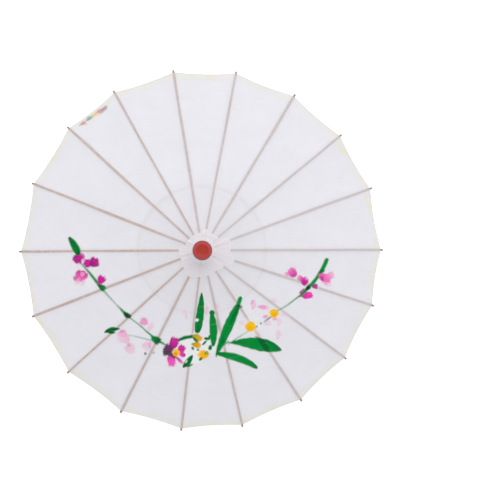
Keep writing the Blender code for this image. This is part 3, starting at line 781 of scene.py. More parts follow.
def oiled_cloth(name, base, warm, see_through, glow):
    """Oiled, silky cloth: fine weave, drawn fibres, glue stains by the rim, paint, ribs behind it and a
    painted shadow of the lacing thread.
    """
    look = Look(name, on_rest=True)
    marks = look.node("SeparateColor", {"Color": look.attribute("marks", "Color")}).node
    hem, stain, rib = marks.outputs
    paint = look.attribute("paint", "Color")
    cover = paint.node.outputs["Alpha"]
    threads = look.noise(1500.0, 2, factors=(1, 0.05, 1))
    weft = look.noise(1500.0, 2, factors=(0.05, 1, 1))
    weave = look.plus(threads, weft)
    clouds = look.noise(26.0, 5)
    slubs = look.noise(240.0, 4, 0.6, (0.10, 1, 1), 0.2)
    colour = look.ramp(look.weighted(clouds, 0.5, slubs, 0.5), [(0.32, shaded(base, 0.955)), (0.70, base)])
    colour = look.mix(look.times(hem, 0.6), colour, warm)
    colour = look.mix(look.times(stain, 0.4), colour, linear(238, 231, 190))
    rib_tone = look.ramp(look.noise(130.0), [(0.3, linear(180, 155, 146)), (0.7, linear(200, 178, 171))])
    # The rib channel also carries the painted shadow of the lacing thread, so the same tint darkens that
    # ring.
    colour = look.mix(rib, colour, rib_tone)
    dry = look.ramp(look.plus(slubs, look.times(weave, 0.2)), [(0.35, 0.86), (0.6, 1.0)])
    painted_part = look.times(cover, dry)
    colour = look.mix(painted_part, colour, paint)
    relief = look.plus(look.weighted(weave, 0.5, slubs, 0.7), look.times(cover, 0.6))
    normal = look.bump(relief, 0.28, 0.0002)
    shine = look.ramp(clouds, [(0.35, 0.46), (0.7, 0.60)])
    bare = look.minus(1.0, painted_part)
    look.finish(Base_Color=colour, Roughness=shine, Normal=normal, Sheen_Weight=look.times(bare, 0.12),
                Specular_IOR_Level=look.times(look.plus(bare, 0.12), 0.32))
    lit = look.node("BsdfTranslucent", {"Color": colour, "Normal": normal})
    closed = look.minus(1.0, look.maths("MAXIMUM", look.times(painted_part, 0.9), rib))
    body = look.node("MixShader", {0: look.times(closed, glow), 1: look.shader.outputs["BSDF"], 2: lit})
    clear = look.node("BsdfTransparent", {})
    gaps = look.times(look.ramp(weave, [(0.40, see_through * 1.3), (0.62, see_through * 0.7)]), closed)
    look.put(look.surface, look.node("MixShader", {0: gaps, 1: body, 2: clear}))
    return look.material


CLOTH = oiled_cloth("canopy_cloth_look", linear(240, 239.5, 244), linear(238, 237, 228), 0.10, 0.32)
CAP_CLOTH = oiled_cloth("cap_cloth_look", linear(243, 239, 244), linear(248, 247, 250), 0.05, 0.18)
RIB_BAMBOO = bamboo("rib_bamboo", linear(188, 160, 132), linear(138, 110, 88),
                    tips=(0.270, 0.288, linear(150, 134, 126)))
STRETCHER_BAMBOO = bamboo("stretcher_bamboo", linear(200, 168, 128), linear(150, 116, 82))
SHAFT_BAMBOO = bamboo("shaft_bamboo", linear(206, 174, 126), linear(158, 120, 76), along=2, fibre=500.0)
HANDLE_BAMBOO = bamboo("handle_bamboo", linear(150, 96, 52), linear(92, 52, 26), along=2, fibre=500.0,
                       roughness=(0.28, 0.42))
CATCH_BAMBOO = bamboo("catch_bamboo_look", linear(190, 148, 96), linear(134, 94, 56), along=2)
HUB_WOOD = turned_wood("hub_wood", linear(176, 132, 88), linear(124, 84, 50))
LACQUER = red_lacquer()
STEEL = steel_wire()
LACING = cotton_thread("lacing_thread", linear(238, 226, 222), linear(196, 176, 176))
BINDING = cotton_thread("binding_thread", linear(206, 70, 58), linear(140, 30, 30))


# ---------------------------------------------------------------- cloth sheets

def sheet_faces(rows, columns, wrapped):
    """Top faces of a grid, and the pairs of points along its border."""
    places = np.arange(rows * columns).reshape(rows, columns)
    beside = np.roll(places, -1, axis=1) if wrapped else places[:, 1:]
    first = places if wrapped else places[:, :-1]
    top = np.stack([first[:-1], first[1:], beside[1:], beside[:-1]], axis=-1).reshape(-1, 4)
    edges = [np.stack([beside[0], first[0]], axis=1), np.stack([first[-1], beside[-1]], axis=1)]
    if not wrapped:
        edges.append(np.stack([places[:-1, 0], places[1:, 0]], axis=1))
        edges.append(np.stack([places[1:, -1], places[:-1, -1]], axis=1))
    return top, np.concatenate(edges)


def thin_sheet(name, middle, lift, layers, material, wrapped=False):
    """Closed thin sheet from a grid of middle points and half-thickness vectors.

    layers holds the point attributes, each one value or tuple a grid point. A wrapped grid is a ring.
    """
    rows, columns = middle.shape[:2]
    count = rows * columns
    places = np.concatenate([(middle + lift).reshape(-1, 3), (middle - lift).reshape(-1, 3)])
    top, border = sheet_faces(rows, columns, wrapped)
    start, end = border[:, 0], border[:, 1]
    walls = np.stack([start, end, end + count, start + count], axis=1)
    faces = np.concatenate([top, top[:, ::-1] + count, walls])
    mesh = bpy.data.meshes.new(name)
    mesh.from_pydata(places.tolist(), [], faces.tolist())
    bm = bmesh.new()
    bm.from_mesh(mesh)
    bmesh.ops.recalc_face_normals(bm, faces=bm.faces)
    bm.to_mesh(mesh)
    bm.free()
    for label, values in layers.items():
        values = np.asarray(values, dtype=np.float32).reshape(count, -1)
        both = np.concatenate([values, values])
        kind = "FLOAT_COLOR" if both.shape[1] == 4 else "FLOAT_VECTOR"
        field = mesh.attributes.new(label, kind, "POINT")
        field.data.foreach_set("color" if kind == "FLOAT_COLOR" else "vector", both.ravel())
    smooth(mesh, 60)
    mesh.materials.append(material)
    return placed(name, mesh)


SAG = 2.0 * MM
RIPPLE = 0.30 * MM
HEM_WIDTH = 7.4 * MM
HEM_SOFT = 0.4 * MM
HEM_THICKNESS = 0.12 * MM
HOLLOW_REACH = 60 * MM
HOLLOW_FULL = 12 * MM
HEM_ROWS = [0, 0.7, 1.4, 3.4, 5.4, 6.7, 7.4, 8.1, 9.6]  # millimetres from the rim
FINE_ROW, COARSE_ROW = 1.4, 4.0  # millimetres between the rows further in
FINE_COLUMNS, COARSE_COLUMNS = 37, 13
LACING_RADIUS = 99.5 * MM


def row_distances(fine):
    """Distances of a gore's rows from its rim."""
    length = (CLOTH_END - CLOTH_START) / MM
    inside = length - HEM_ROWS[-1]
    count = round(inside / (FINE_ROW if fine else COARSE_ROW))
    return np.array(HEM_ROWS + [HEM_ROWS[-1] + inside * (row + 1) / count for row in range(count)]) * MM


def hollow_at(share, distance):
    """How far the rim and the rows near it curve in between the ribs."""
    fade = smoothstep(HOLLOW_REACH, HOLLOW_FULL, distance)
    return RIM_HOLLOW * (1 - (1 - share) ** 2) * fade


def rib_half_width(number, x):
    """Half width of a rib at a distance x from the axis. Every split of bamboo is a little different."""
    along = (x - HINGE_RADIUS) / math.cos(SLOPE) / MM
    body = np.interp(along, [0, 7, 20, 60, 100, 283, 299], [1.0, 1.0, 1.6, 1.85, 1.95, 1.95, 1.7])
    wave = np.sin(along / 37 + number * 2.1) * 0.07 + np.sin(along / 13 + number) * 0.03
    width = 0.95 + 0.09 * math.sin(number * 2.7)
    return np.where(along > 22, body * (width + wave), body) * MM


def rib_bend(number, x):
    """Small sideways wander of a rib beyond its stretcher's joint."""
    along = (x - HINGE_RADIUS) / math.cos(SLOPE) / MM
    reach = smoothstep(110, 200, along) * smoothstep(300, 270, along)
    return reach * 0.22 * np.sin(along / 31 + number * 1.3) * MM


def cloth_marks(plan, distance, rib):
    """Hem, stains, rib tint and a faint painted shadow of the lacing thread, from points in plan and their
    distance from the rim.
    """
    angle, radius = polar(plan)
    wobble = 0.6 * np.sin(angle * 31) + 0.5 * np.sin(angle * 53 + 1) + 0.4 * np.sin(angle * 97 + 2)
    width = (9.5 + 2.2 * wobble) * MM
    hem = smoothstep(width + 2 * MM, width - 2 * MM, distance) * (0.72 + 0.28 * ripple(plan, 21 * MM, 11))
    edge_line = smoothstep(1.2 * MM, 0.3 * MM, distance)
    patches = ripple(plan, 34 * MM, 12) + 0.6 * ripple(plan, 11 * MM, 13)
    stain = smoothstep(0.62, 1.15, patches) * smoothstep(16 * MM, 9 * MM, distance) * 0.9
    # A faint ring of painted shadow where the lacing thread lies under the cloth; it is added to the rib
    # tint.
    lacing = np.exp(-((radius - LACING_RADIUS) / (1.0 * MM)) ** 2)
    rib = np.clip(rib + 0.10 * lacing + 0.30 * edge_line, 0, 1)
    return np.stack([np.clip(hem, 0, 1), stain, rib, np.ones_like(rib)], axis=-1)


def rib_tint(number, x, y):
    """How much of the rib shows through the cloth, in the rib's plan frame."""
    half = rib_half_width(number, x)
    across = np.abs(y - rib_bend(number, x))
    line = smoothstep(half + 0.32 * MM, half - 0.30 * MM, across)
    edge = cap_outline(AZIMUTHS[number])
    past_cap = smoothstep(edge - 2.5 * MM, edge + 1 * MM, x)
    pressed = 0.70 + 0.22 * math.cos(AZIMUTHS[number] - math.radians(190))
    return line * (0.15 + 0.85 * past_cap) * pressed * (0.95 + 0.05 * np.sin(x / (23 * MM) + number))


def cloth_layers(number, local, distance):
    """Point attributes of a sheet from its points in its rib's plan frame."""
    world = turned_about_z(local, AZIMUTHS[number])
    rib = rib_tint(number, local[..., 0], local[..., 1])
    paint = painted(world)
    return {"rest": world, "marks": cloth_marks(world, distance, rib), "paint": paint}


def hem_swell(distance):
    """Extra half thickness of the folded hem."""
    return smoothstep(HEM_WIDTH + HEM_SOFT, HEM_WIDTH - HEM_SOFT, distance) * HEM_THICKNESS


def half_name(kind, number, side):
    return f"{kind}_{LABELS[number]}_{'left' if side > 0 else 'right'}"


def gore_half(number, side):
    """Half a gore of cloth, from the strip's edge on its rib to the middle line."""
    azimuth = AZIMUTHS[number]
    fine = is_painted(azimuth)
    distance = row_distances(fine)[:, None]
    share = np.linspace(0, 1, FINE_COLUMNS if fine else COARSE_COLUMNS)[None, :]
    x = CLOTH_END - distance - hollow_at(share, distance)
    flat = half_points(x, share, number, side)
    world_plan = turned_about_z(flat, azimuth)
    tight = np.clip((x - CLOTH_START) / (CLOTH_END - CLOTH_START), 0, 1)
    drop = -SAG * np.sin(share * math.pi / 2) * tight ** 1.2
    waves = RIPPLE * ripple(world_plan, 42 * MM, 7) * smoothstep(0, 0.3, share) * tight
    normal = np.array(facet_normal(number, side))
    middle = flat + normal * (drop + waves)[..., None]
    lift = normal * (CLOTH_THICKNESS / 2 + hem_swell(distance))[..., None] * np.ones_like(middle)
    layers = cloth_layers(number, flat, distance * np.ones_like(share))
    made = thin_sheet(half_name("canopy", number, side), turned_about_z(middle, azimuth),
                      turned_about_z(lift, azimuth), layers, CLOTH)
    return pleated(made, number, side)


def pleated(obj, number, side):
    """Ride on the rib, with a mesh of its own. The pleat's axis and anchor are worked out here, but nothing
    uses them.
    """
    across, up = math.cos(PLEAT_TILT), math.sin(PLEAT_TILT)
    axis = np.array([up * math.sin(SLOPE), side * across, up * math.cos(SLOPE)])
    anchor = half_points(np.array(PLEAT_ANCHOR), np.array(0.0), number, side)
    axis, anchor = (turned_about_z(item, AZIMUTHS[number]) for item in (axis, anchor))
    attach(obj, f"rib_{LABELS[number]}")
    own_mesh(obj)
    return obj


def strip_points(number, x, columns):
    """Points of the strip along a rib, in the rib's plan frame, for rows at distances x."""
    right, left = (fold_numbers(half_space(number, side))[0] for side in (-1, 1))
    y = np.linspace(-right, left, columns)[None, :] + 0 * x
    x = x + 0 * y
    return np.stack([x, y, sheet_height(x)], axis=-1)


def gore_strip(number):
    """The strip of cloth glued along a rib."""
    azimuth = AZIMUTHS[number]
    distance = row_distances(is_painted(azimuth))[:, None]
    local = strip_points(number, CLOTH_END - distance, 13)
    lift = np.array(ABOVE) * (CLOTH_THICKNESS / 2 + hem_swell(distance))[..., None] * np.ones_like(local)
    layers = cloth_layers(number, local, distance + 0 * local[..., 0])
    made = thin_sheet(f"canopy_{LABELS[number]}_strip", turned_about_z(local, azimuth),
                      turned_about_z(lift, azimuth), layers, CLOTH)
    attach(made, f"rib_{LABELS[number]}")
    return made


def canopy():
    for number in range(RIB_COUNT):
        gore = f"canopy_gore_{LABELS[number]}"
        for piece in (gore_strip(number), gore_half(number, 1), gore_half(number, -1)):
            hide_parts(gore)


# ---------------------------------------------------------------- cap over the crown

CAP_OUTLINE = (  # degrees from +X, and millimetres from the axis
    (-158, 35), (-138, 39), (-117, 45), (-97, 41.5), (-57, 38), (-38, 41), (-18, 52), (0, 44), (20, 46),
    (40, 31), (62, 30), (80, 33), (99, 27), (138, 26), (160, 27), (178, 36),
)
CAP_THICKNESS = 0.25 * MM
CAP_CLEARANCE = 0.42 * MM
CAP_START = 16.2 * MM
CAP_ROWS = 22
COLLAR_LANDS = (17.5 * MM, 20.6 * MM)
COLLAR_RIM = (20.4 * MM, 21.5 * MM)
COLLAR_LIFT = 0.55 * MM
COLLAR_PROFILE = ((9.35, 8.6), (9.6, 8.0), (11, 7.2), (13.5, 6.3), (15.8, 5.3), (17.6, 3.7), (19.2, 1.6))
CAP_WAVES = ((5, 0.5, 0.4), (7, 0.8, 1.0), (11, 1.0, 2.6), (17, 1.0, 0.3), (23, 0.8, 4.0), (31, 0.5, 1.7))
TIE_RADIUS = 9.75 * MM
TIE_THREAD = 0.16 * MM
TIE_LEVEL, TIE_PITCH = 8.35, 0.26  # millimetres above the hinges, and between turns


def cap_outline(azimuth):
    """Radius of the cap's hand-cut edge in a direction."""
    degrees, reach = zip(*CAP_OUTLINE)
    return np.interp(np.degrees(azimuth), degrees, reach, period=360) * MM


def cap_folds(azimuth, radius):
    """Height of the gathered folds, which run out from the neck and die away towards the edge."""
    total = sum(weight * np.cos(count * azimuth + phase) for count, weight, phase in CAP_WAVES)
    limit = sum(weight for _, weight, _ in CAP_WAVES)
    crisp = np.abs(total / limit) ** 1.3 * np.sign(total)
    size = np.interp(radius / MM, [9, 13, 19, 28, 40, 56], [0.8, 1.8, 2.9, 2.2, 1.0, 0.35]) * MM
    return size * (0.5 + crisp)


def cap_over_cloth(plan):
    """Height of the cap's middle above the sheet's middle, at points in plan."""
    return CAP_CLEARANCE + np.maximum(cap_folds(*polar(plan)), 0)


def cap_layers(world):
    """Point attributes of the cap: a frayed edge, and no stains, ribs or paint."""
    azimuth, radius = polar(world)
    frayed = smoothstep(3.2 * MM, 0.6 * MM, cap_outline(azimuth) - radius)
    marks = frayed[..., None] * [0.6, 0, 0, 0] + [0, 0, 0, 1]
    return {"rest": world, "marks": marks, "paint": 0 * marks}


def cap_sheet(name, number, flat):
    """Part of the cap over one rib's cloth, from points of the sheet in the rib's plan frame."""
    plan = turned_about_z(flat, AZIMUTHS[number])
    middle = plan + np.array([0, 0, 1]) * cap_over_cloth(plan)[..., None]
    lift = np.array([0, 0, CAP_THICKNESS / 2]) * np.ones_like(middle)
    return thin_sheet(name, middle, lift, cap_layers(plan), CAP_CLOTH)


def cap_half(number, side):
    """Part of the cap over a half gore, out to the cap's cut edge.

    A row of half_points draws nearer to the axis towards the middle line, which the divisor makes up for.
    """
    share = np.linspace(0, 1, 15)[None, :]
    half = half_space(number, side)
    reach = cap_outline(AZIMUTHS[number] + side * share * half) / (1 - (share - share ** 2 / 2) * half ** 2)
    x = CAP_START + (reach - CAP_START) * np.linspace(0, 1, CAP_ROWS)[:, None]
    flat = half_points(x, share, number, side)
    return pleated(cap_sheet(half_name("cap", number, side), number, flat), number, side)


def cap_strip(number):
    along = np.linspace(0, 1, CAP_ROWS)[:, None]
    x = CAP_START + (cap_outline(AZIMUTHS[number]) - CAP_START) * along
    made = cap_sheet(f"cap_{LABELS[number]}_strip", number, strip_points(number, x, 5))
    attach(made, f"rib_{LABELS[number]}")
    return made


def gathered_collar():
    """The cap's gathered top, tied round the crown's neck and draped over the head."""
    azimuth = np.linspace(0, 2 * math.pi, 240, endpoint=False)[None, :]
    profile = np.array(COLLAR_PROFILE) * MM
    radius = np.concatenate([np.linspace(profile[0, 0], profile[-1, 0], 16), COLLAR_RIM])[:, None]
    plan = np.stack([radius * np.cos(azimuth), radius * np.sin(azimuth), 0 * radius * azimuth], axis=-1)
    drape = HINGE_HEIGHT + np.interp(radius, profile[:, 0], profile[:, 1])
    over_cloth = sheet_height(radius) + cap_over_cloth(plan) + COLLAR_LIFT
    onto = smoothstep(*COLLAR_LANDS, radius)
    gathers = 0.28 * MM * np.cos(47 * azimuth + 2 * np.sin(5 * azimuth))
    gathers = gathers * smoothstep(16 * MM, 10 * MM, radius)
    draped = drape + np.maximum(cap_folds(azimuth, radius), 0) + gathers
    plan[..., 2] = draped * (1 - onto) + over_cloth * onto
    lift = np.array([0, 0, CAP_THICKNESS / 2]) * np.ones_like(plan)
    made = thin_sheet("cap_collar", plan, lift, cap_layers(plan), CAP_CLOTH, wrapped=True)
    finish_piece(made, ROOT, None, ["crown_cap"])


def cap_tie():
    """Thread wound round the collar where it is tied to the neck."""
    turns, steps = 5, 40
    path = []
    for step in range(turns * steps):
        angle = 2 * math.pi * step / steps
        height = HINGE_HEIGHT + (TIE_LEVEL + TIE_PITCH * step / steps) * MM
        path.append((TIE_RADIUS * math.cos(angle), TIE_RADIUS * math.sin(angle), height))
    finish_piece(wire("cap_tie", path, TIE_THREAD), ROOT, LACING)


def cap():
    gathered_collar()
    cap_tie()
    for number in range(RIB_COUNT):
        for piece in (cap_strip(number), cap_half(number, 1), cap_half(number, -1)):
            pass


# ---------------------------------------------------------------- ribs and stretchers

EYE_RADIUS = 1.5 * MM
EYE_HOLE = 0.65 * MM
EYE_WIDTH = 2.0 * MM
LUG_WIDTH = 1.55 * MM
LUG_ROOT = 3.2 * MM
LUG_FOOT = 1.45 * MM
FORK_WIDTH = 3.6 * MM
FORK_SLOT = 2.1 * MM
FORK_DEPTH = 3.5 * MM
PIN_WIRE = 0.4 * MM
RIB_TOP = 1.25 * MM
GLUED_TOP = 1.62 * MM
SECTION_SIDES = 16


def section(half_width, low, high, squareness=4.5):
    """Rounded rectangle of (y, z) points."""
    points = []
    for side in range(SECTION_SIDES):
        angle = 2 * math.pi * (side + 0.5) / SECTION_SIDES
        c, s = math.cos(angle), math.sin(angle)
        y = half_width * math.copysign(abs(c) ** (2 / squareness), c)
        z = (low + high) / 2 + (high - low) / 2 * math.copysign(abs(s) ** (2 / squareness), s)
        points.append((y, z))
    return points


def loft(name, stations):
    """Rod along +X through rounded sections: (x, sideways shift, half width, low z, high z)."""
    bm = bmesh.new()
    rings = []
    for x, shift, half_width, low, high in stations:
        rings.append([bm.verts.new((x, y + shift, z)) for y, z in section(half_width, low, high)])
    for near, far in zip(rings, rings[1:]):
        for first in range(SECTION_SIDES):
            second = (first + 1) % SECTION_SIDES
            bm.faces.new((near[first], near[second], far[second], far[first]))
    bm.faces.new(rings[0])
    bm.faces.new(rings[-1])
    return object_from(bm, name)


def plate(name, outline, width):
    """Flat plate of (x, z) outline points, centred on Y."""
    bm = bmesh.new()
    near = [bm.verts.new((x, -width / 2, z)) for x, z in outline]
    far = [bm.verts.new((x, width / 2, z)) for x, z in outline]
    bm.faces.new(near)
    bm.faces.new(far)
    for first in range(len(outline)):
        second = (first + 1) % len(outline)
        bm.faces.new((near[first], near[second], far[second], far[first]))
    return object_from(bm, name)


def joined(name, target, tools, operation):
    """Boolean the tools into the target one after another."""
    for tool in tools:
        boolean(target, tool, operation)
    target.name = name
    return target


def rib_stations(number):
    """Stations of a rib for loft, with its sideways wander, its bamboo joints and its rounded tip."""
    steps = [0.3, 2.5, 5, 7, 10, 14, 18, 22] + [26 + 5.5 * step for step in range(47)]
    steps += [287, 292.8, 296, 298.6]
    out = []
    for step in steps:
        x = step * MM
        plan = HINGE_RADIUS + x * math.cos(SLOPE)
        top = RIB_TOP + (GLUED_TOP - RIB_TOP) * float(smoothstep(20, 30, step))
        node = max(math.exp(-((step - place) / 1.6) ** 2) for place in bamboo_nodes(number))
        low = -1.22 - 0.10 * math.sin(step / 17 + number) - 0.28 * node * (step > 24)
        low += 0.25 * float(smoothstep(250, 296, step))
        half_width = float(rib_half_width(number, plan)) + 0.10 * MM * node * (step > 24)
        out.append((x, float(rib_bend(number, plan)), half_width, low * MM, top))
    tip = RIB_LENGTH
    out += [(tip - 1.2 * MM, 0, 1.65 * MM, -0.85 * MM, GLUED_TOP - 0.15 * MM),
            (tip - 0.3 * MM, 0, 1.35 * MM, -0.6 * MM, GLUED_TOP - 0.4 * MM),
            (tip, 0, 0.95 * MM, -0.35 * MM, GLUED_TOP - 0.7 * MM)]
    return out


def bamboo_nodes(number):
    """Places of a rib's joints along it in millimetres, clear of the stretcher's lug."""
    start = 38 + 61 * ((number * 0.618) % 1)
    return [place for place in (start, start + 84, start + 171) if abs(place - 95) > 14]


def rib_fittings():
    """The lug for the stretcher with its eye, in the rib's own axes."""
    x, z = PIN_ALONG, -PIN_BELOW
    half = [(LUG_ROOT, -0.4 * MM), (LUG_ROOT, -1.3 * MM), (LUG_FOOT, z - 0.3 * MM)]
    outline = [(x - out, height) for out, height in half]
    outline += [(x + out, height) for out, height in reversed(half)]
    lug = plate("lug", outline, LUG_WIDTH)
    return joined("fittings", lug, [cross_disc("lug_eye", EYE_RADIUS, LUG_WIDTH + 0.01 * MM, x, z)], "UNION")


def rib(number):
    made = loft("rib", rib_stations(number))
    hub_eye = cross_disc("hub_eye", EYE_RADIUS, EYE_WIDTH)
    holes = [cross_disc("hub_hole", EYE_HOLE, 8 * MM),
             cross_disc("lug_hole", EYE_HOLE, 8 * MM, PIN_ALONG, -PIN_BELOW)]
    joined("rib", made, [hub_eye, rib_fittings()], "UNION")
    joined(f"split_rib_{LABELS[number]}", made, holes, "DIFFERENCE")
    settle(made, 40)
    made.matrix_world = rib_matrix(number)
    finish_piece(made, f"rib_{LABELS[number]}", RIB_BAMBOO, [f"rib_{LABELS[number]}"])


def rib_matrix(number):
    """Place of a rib's own axes: +X out along the rib from its hinge, +Z away from the shaft's foot."""
    turn = Matrix.Rotation(AZIMUTHS[number], 4, "Z")
    return turn @ Matrix.Translation(HINGE) @ Matrix.Rotation(SLOPE, 4, "Y")


def stretcher_mesh():
    """Stretcher along +X from its fork to the eye that turns on the runner's wire."""
    length = STRETCHER_LENGTH
    steps = [(0.2, 1.75), (3, 1.78), (7, 1.78), (9.5, 1.68), (12, 1.58)]
    steps += [(12 + 5.5 * step, 1.55 + 0.07 * math.sin(step * 1.1)) for step in range(1, 12)]
    steps += [(length / MM - before, half) for before, half in ((14, 1.45), (8, 1.05), (4, 1.0), (0.3, 0.98))]
    stations = [(x * MM, 0, half * MM, (-1.05 - 0.05 * math.sin(x / 9)) * MM, 1.05 * MM) for x, half in steps]
    made = loft("stretcher", stations)
    joined("stretcher", made, [cross_disc("fork_eye", 1.45 * MM, FORK_WIDTH),
                               cross_disc("runner_eye", EYE_RADIUS, EYE_WIDTH, length)], "UNION")
    slot = block("slot", (-3 * MM, -FORK_SLOT / 2, -3 * MM), (FORK_DEPTH, FORK_SLOT / 2, 3 * MM))
    joined("stretcher", made, [slot, cross_disc("runner_hole", EYE_HOLE, 8 * MM, length)], "DIFFERENCE")
    settle(made, 40)
    return made


def pin_mesh():
    """Cross pin with small peened heads."""
    half = FORK_WIDTH / 2
    profile = [(0, half + 0.42 * MM), (0.35 * MM, half + 0.40 * MM), (0.62 * MM, half + 0.22 * MM),
               (0.66 * MM, half + 0.03 * MM), (PIN_WIRE, half + 0.02 * MM)]
    made = lathe("pin", profile + [(radius, -z) for radius, z in reversed(profile)], 20)
    settle(made, 40)
    made.data.transform(Matrix.Rotation(math.pi / 2, 4, "X"))
    return made


def stretchers():
    pattern, pin = stretcher_mesh(), pin_mesh()
    for number, azimuth in enumerate(AZIMUTHS):
        label = LABELS[number]
        place = (Matrix.Rotation(azimuth, 4, "Z") @ Matrix.Translation((PIN_RADIUS, 0, PIN_HEIGHT))
                 @ Matrix.Rotation(math.pi, 4, "Z") @ Matrix.Rotation(STRETCHER_SLOPE, 4, "Y"))
        for name, source, material, replaced in (
            ("bamboo_stretcher", pattern, STRETCHER_BAMBOO, [f"stretcher_{label}"]),
            ("stretcher_pin", pin, STEEL, []),
        ):
            made = placed(f"{name}_{label}", source.data)
            made.matrix_world = place
            finish_piece(made, f"stretcher_{label}", material, replaced)
    for source in (pattern, pin):
        bpy.data.objects.remove(source, do_unlink=True)


# ---------------------------------------------------------------- thread between and round the ribs

THREAD = 0.2 * MM
BINDING_THREAD = 0.17 * MM
BINDING_STARTS = (-6.6, 4.2)  # millimetres along the rib from the stretcher's pin
BINDING_PITCH = 0.40


def lacing(number, side):
    """Two threads that cross halfway to the next rib, under the cloth by the stretchers' joints."""
    ends = ((-1.6, 0.6), (1.6, -0.6))
    wires = []
    across = np.linspace(0, 1, 7)
    for near, far in ends:
        x = LACING_RADIUS + np.linspace(near, far, 7) * MM
        path = half_points(x, across, number, side)
        path[:, 2] -= (1.1 + 0.35 * np.sin(across * math.pi / 2)) * MM
        on_rib = np.array([[LACING_RADIUS + near * MM, side * 1.2 * MM, path[0, 2] - 0.2 * MM]])
        path = turned_about_z(np.concatenate([on_rib, path]), AZIMUTHS[number])
        wires.append(wire("thread", path.tolist(), THREAD, resolution=1))
    made = merged(half_name("lacing", number, side), wires)
    made.data.materials.append(LACING)
    return pleated(made, number, side)


def merged(name, objects):
    """One object from several loose ones."""
    bm = bmesh.new()
    for item in objects:
        bm.from_mesh(item.data)
        bpy.data.objects.remove(item, do_unlink=True)
    made = object_from(bm, name)
    made.data.shade_smooth()
    return made


def binding(number):
    """Thread wound round the rib on both sides of the stretcher's lug."""
    coils = []
    turns, steps = 6, 16
    for start in BINDING_STARTS:
        path = []
        for step in range(turns * steps + 1):
            angle = 2 * math.pi * step / steps
            along = PIN_ALONG + (start + BINDING_PITCH * step / steps) * MM
            half = float(rib_half_width(number, HINGE_RADIUS + along * math.cos(SLOPE))) + 0.12 * MM
            c, s = math.cos(angle), math.sin(angle)
            y = half * math.copysign(abs(c) ** 0.45, c)
            z = 0.12 * MM + 1.48 * MM * math.copysign(abs(s) ** 0.45, s)
            path.append((along, y, z))
        coils.append(wire("coil", path, BINDING_THREAD, resolution=1))
    made = merged(f"rib_binding_{LABELS[number]}", coils)
    made.matrix_world = rib_matrix(number)
    finish_piece(made, f"rib_{LABELS[number]}", BINDING)


# ---------------------------------------------------------------- crown, runner, shaft, knob and catch

HEAD_RADIUS = 14.5 * MM
HEAD_OPEN = 5.5 * MM
HEAD_CLOSED = 4.5 * MM
NECK_RADIUS = 9 * MM
BORE_RADIUS = 5.8 * MM
SLOT_WIDTH = 2.5 * MM
SLOT_INNER = 10.1 * MM
SLOT_BACK = 1.9 * MM


def rib_slots(hinge_height, open_side):
    """Cutter for a head's slots, one in each rib's direction."""
    bm = bmesh.new()
    outer = HEAD_RADIUS + 2 * MM
    reach = HEAD_OPEN + 2 * MM
    centre = hinge_height + open_side * (reach - SLOT_BACK) / 2
    size = Matrix.Diagonal((outer - SLOT_INNER, SLOT_WIDTH, reach + SLOT_BACK, 1))
    for azimuth in AZIMUTHS:
        place = Matrix.Translation(((outer + SLOT_INNER) / 2, 0, centre))
        bmesh.ops.create_cube(bm, size=1, matrix=Matrix.Rotation(azimuth, 4, "Z") @ place @ size)
    return object_from(bm, "slots")


def slotted_head(name, node, body, hinge_height, open_side, neck):
    """Turned head with a slot for every rib; neck is (radius, distance from the hinges) points."""
    head = [(HEAD_RADIUS - 1 * MM, HEAD_OPEN), (HEAD_RADIUS, HEAD_OPEN - 1 * MM),
            (HEAD_RADIUS, 1.6 * MM), (HEAD_RADIUS - 0.35 * MM, 1.2 * MM), (HEAD_RADIUS, 0.8 * MM),
            (HEAD_RADIUS, 1 * MM - HEAD_CLOSED), (HEAD_RADIUS - 1 * MM, -HEAD_CLOSED)]
    outer = softened(head + [(radius, -along) for radius, along in neck], 0.5 * MM, 3)
    outline = outer + [(BORE_RADIUS, outer[-1][1]), (BORE_RADIUS, HEAD_OPEN)]
    outline = [(radius, hinge_height + open_side * along) for radius, along in outline]
    if open_side < 0:
        outline.reverse()
    made = lathe(name, outline, 90, closed=True)
    boolean(made, rib_slots(hinge_height, open_side), "DIFFERENCE")
    bevel(made, 0.18 * MM, 2, 50)
    settle(made, 38)
    finish_piece(made, body, HUB_WOOD, [node])


def tie_wire(name, body, hinge_height):
    """Wire ring that the eyes turn on, straight across each slot."""
    corners = []
    for number in range(RIB_COUNT):
        half = half_space(number, 1)
        angle = AZIMUTHS[number] + half
        radius = HINGE_RADIUS / math.cos(half)
        corners.append((radius * math.cos(angle), radius * math.sin(angle), hinge_height))
    made = wire(name, corners, PIN_WIRE, cyclic=True, resolution=3)
    finish_piece(made, body, STEEL)


def crown():
    neck = [(NECK_RADIUS, HEAD_CLOSED), (NECK_RADIUS, 9.7 * MM)]
    slotted_head("slotted_crown", "crown_notch", ROOT, HINGE_HEIGHT, -1, neck)
    tie_wire("crown_wire", ROOT, HINGE_HEIGHT)


def runner():
    waist = ((-0.1, 6), (-0.55, 6.6), (-0.1, 7.2), (-0.6, 16), (-0.2, 26), (-0.6, 26.6), (-0.1, 27.2),
             (0, 30), (2, 32), (2, 35), (1, 36))
    neck = [(NECK_RADIUS, HEAD_CLOSED)] + [(NECK_RADIUS + out * MM, along * MM) for out, along in waist]
    slotted_head("slotted_runner", "runner", "runner", RUNNER_HEIGHT, 1, neck)
    tie_wire("runner_wire", "runner", RUNNER_HEIGHT)


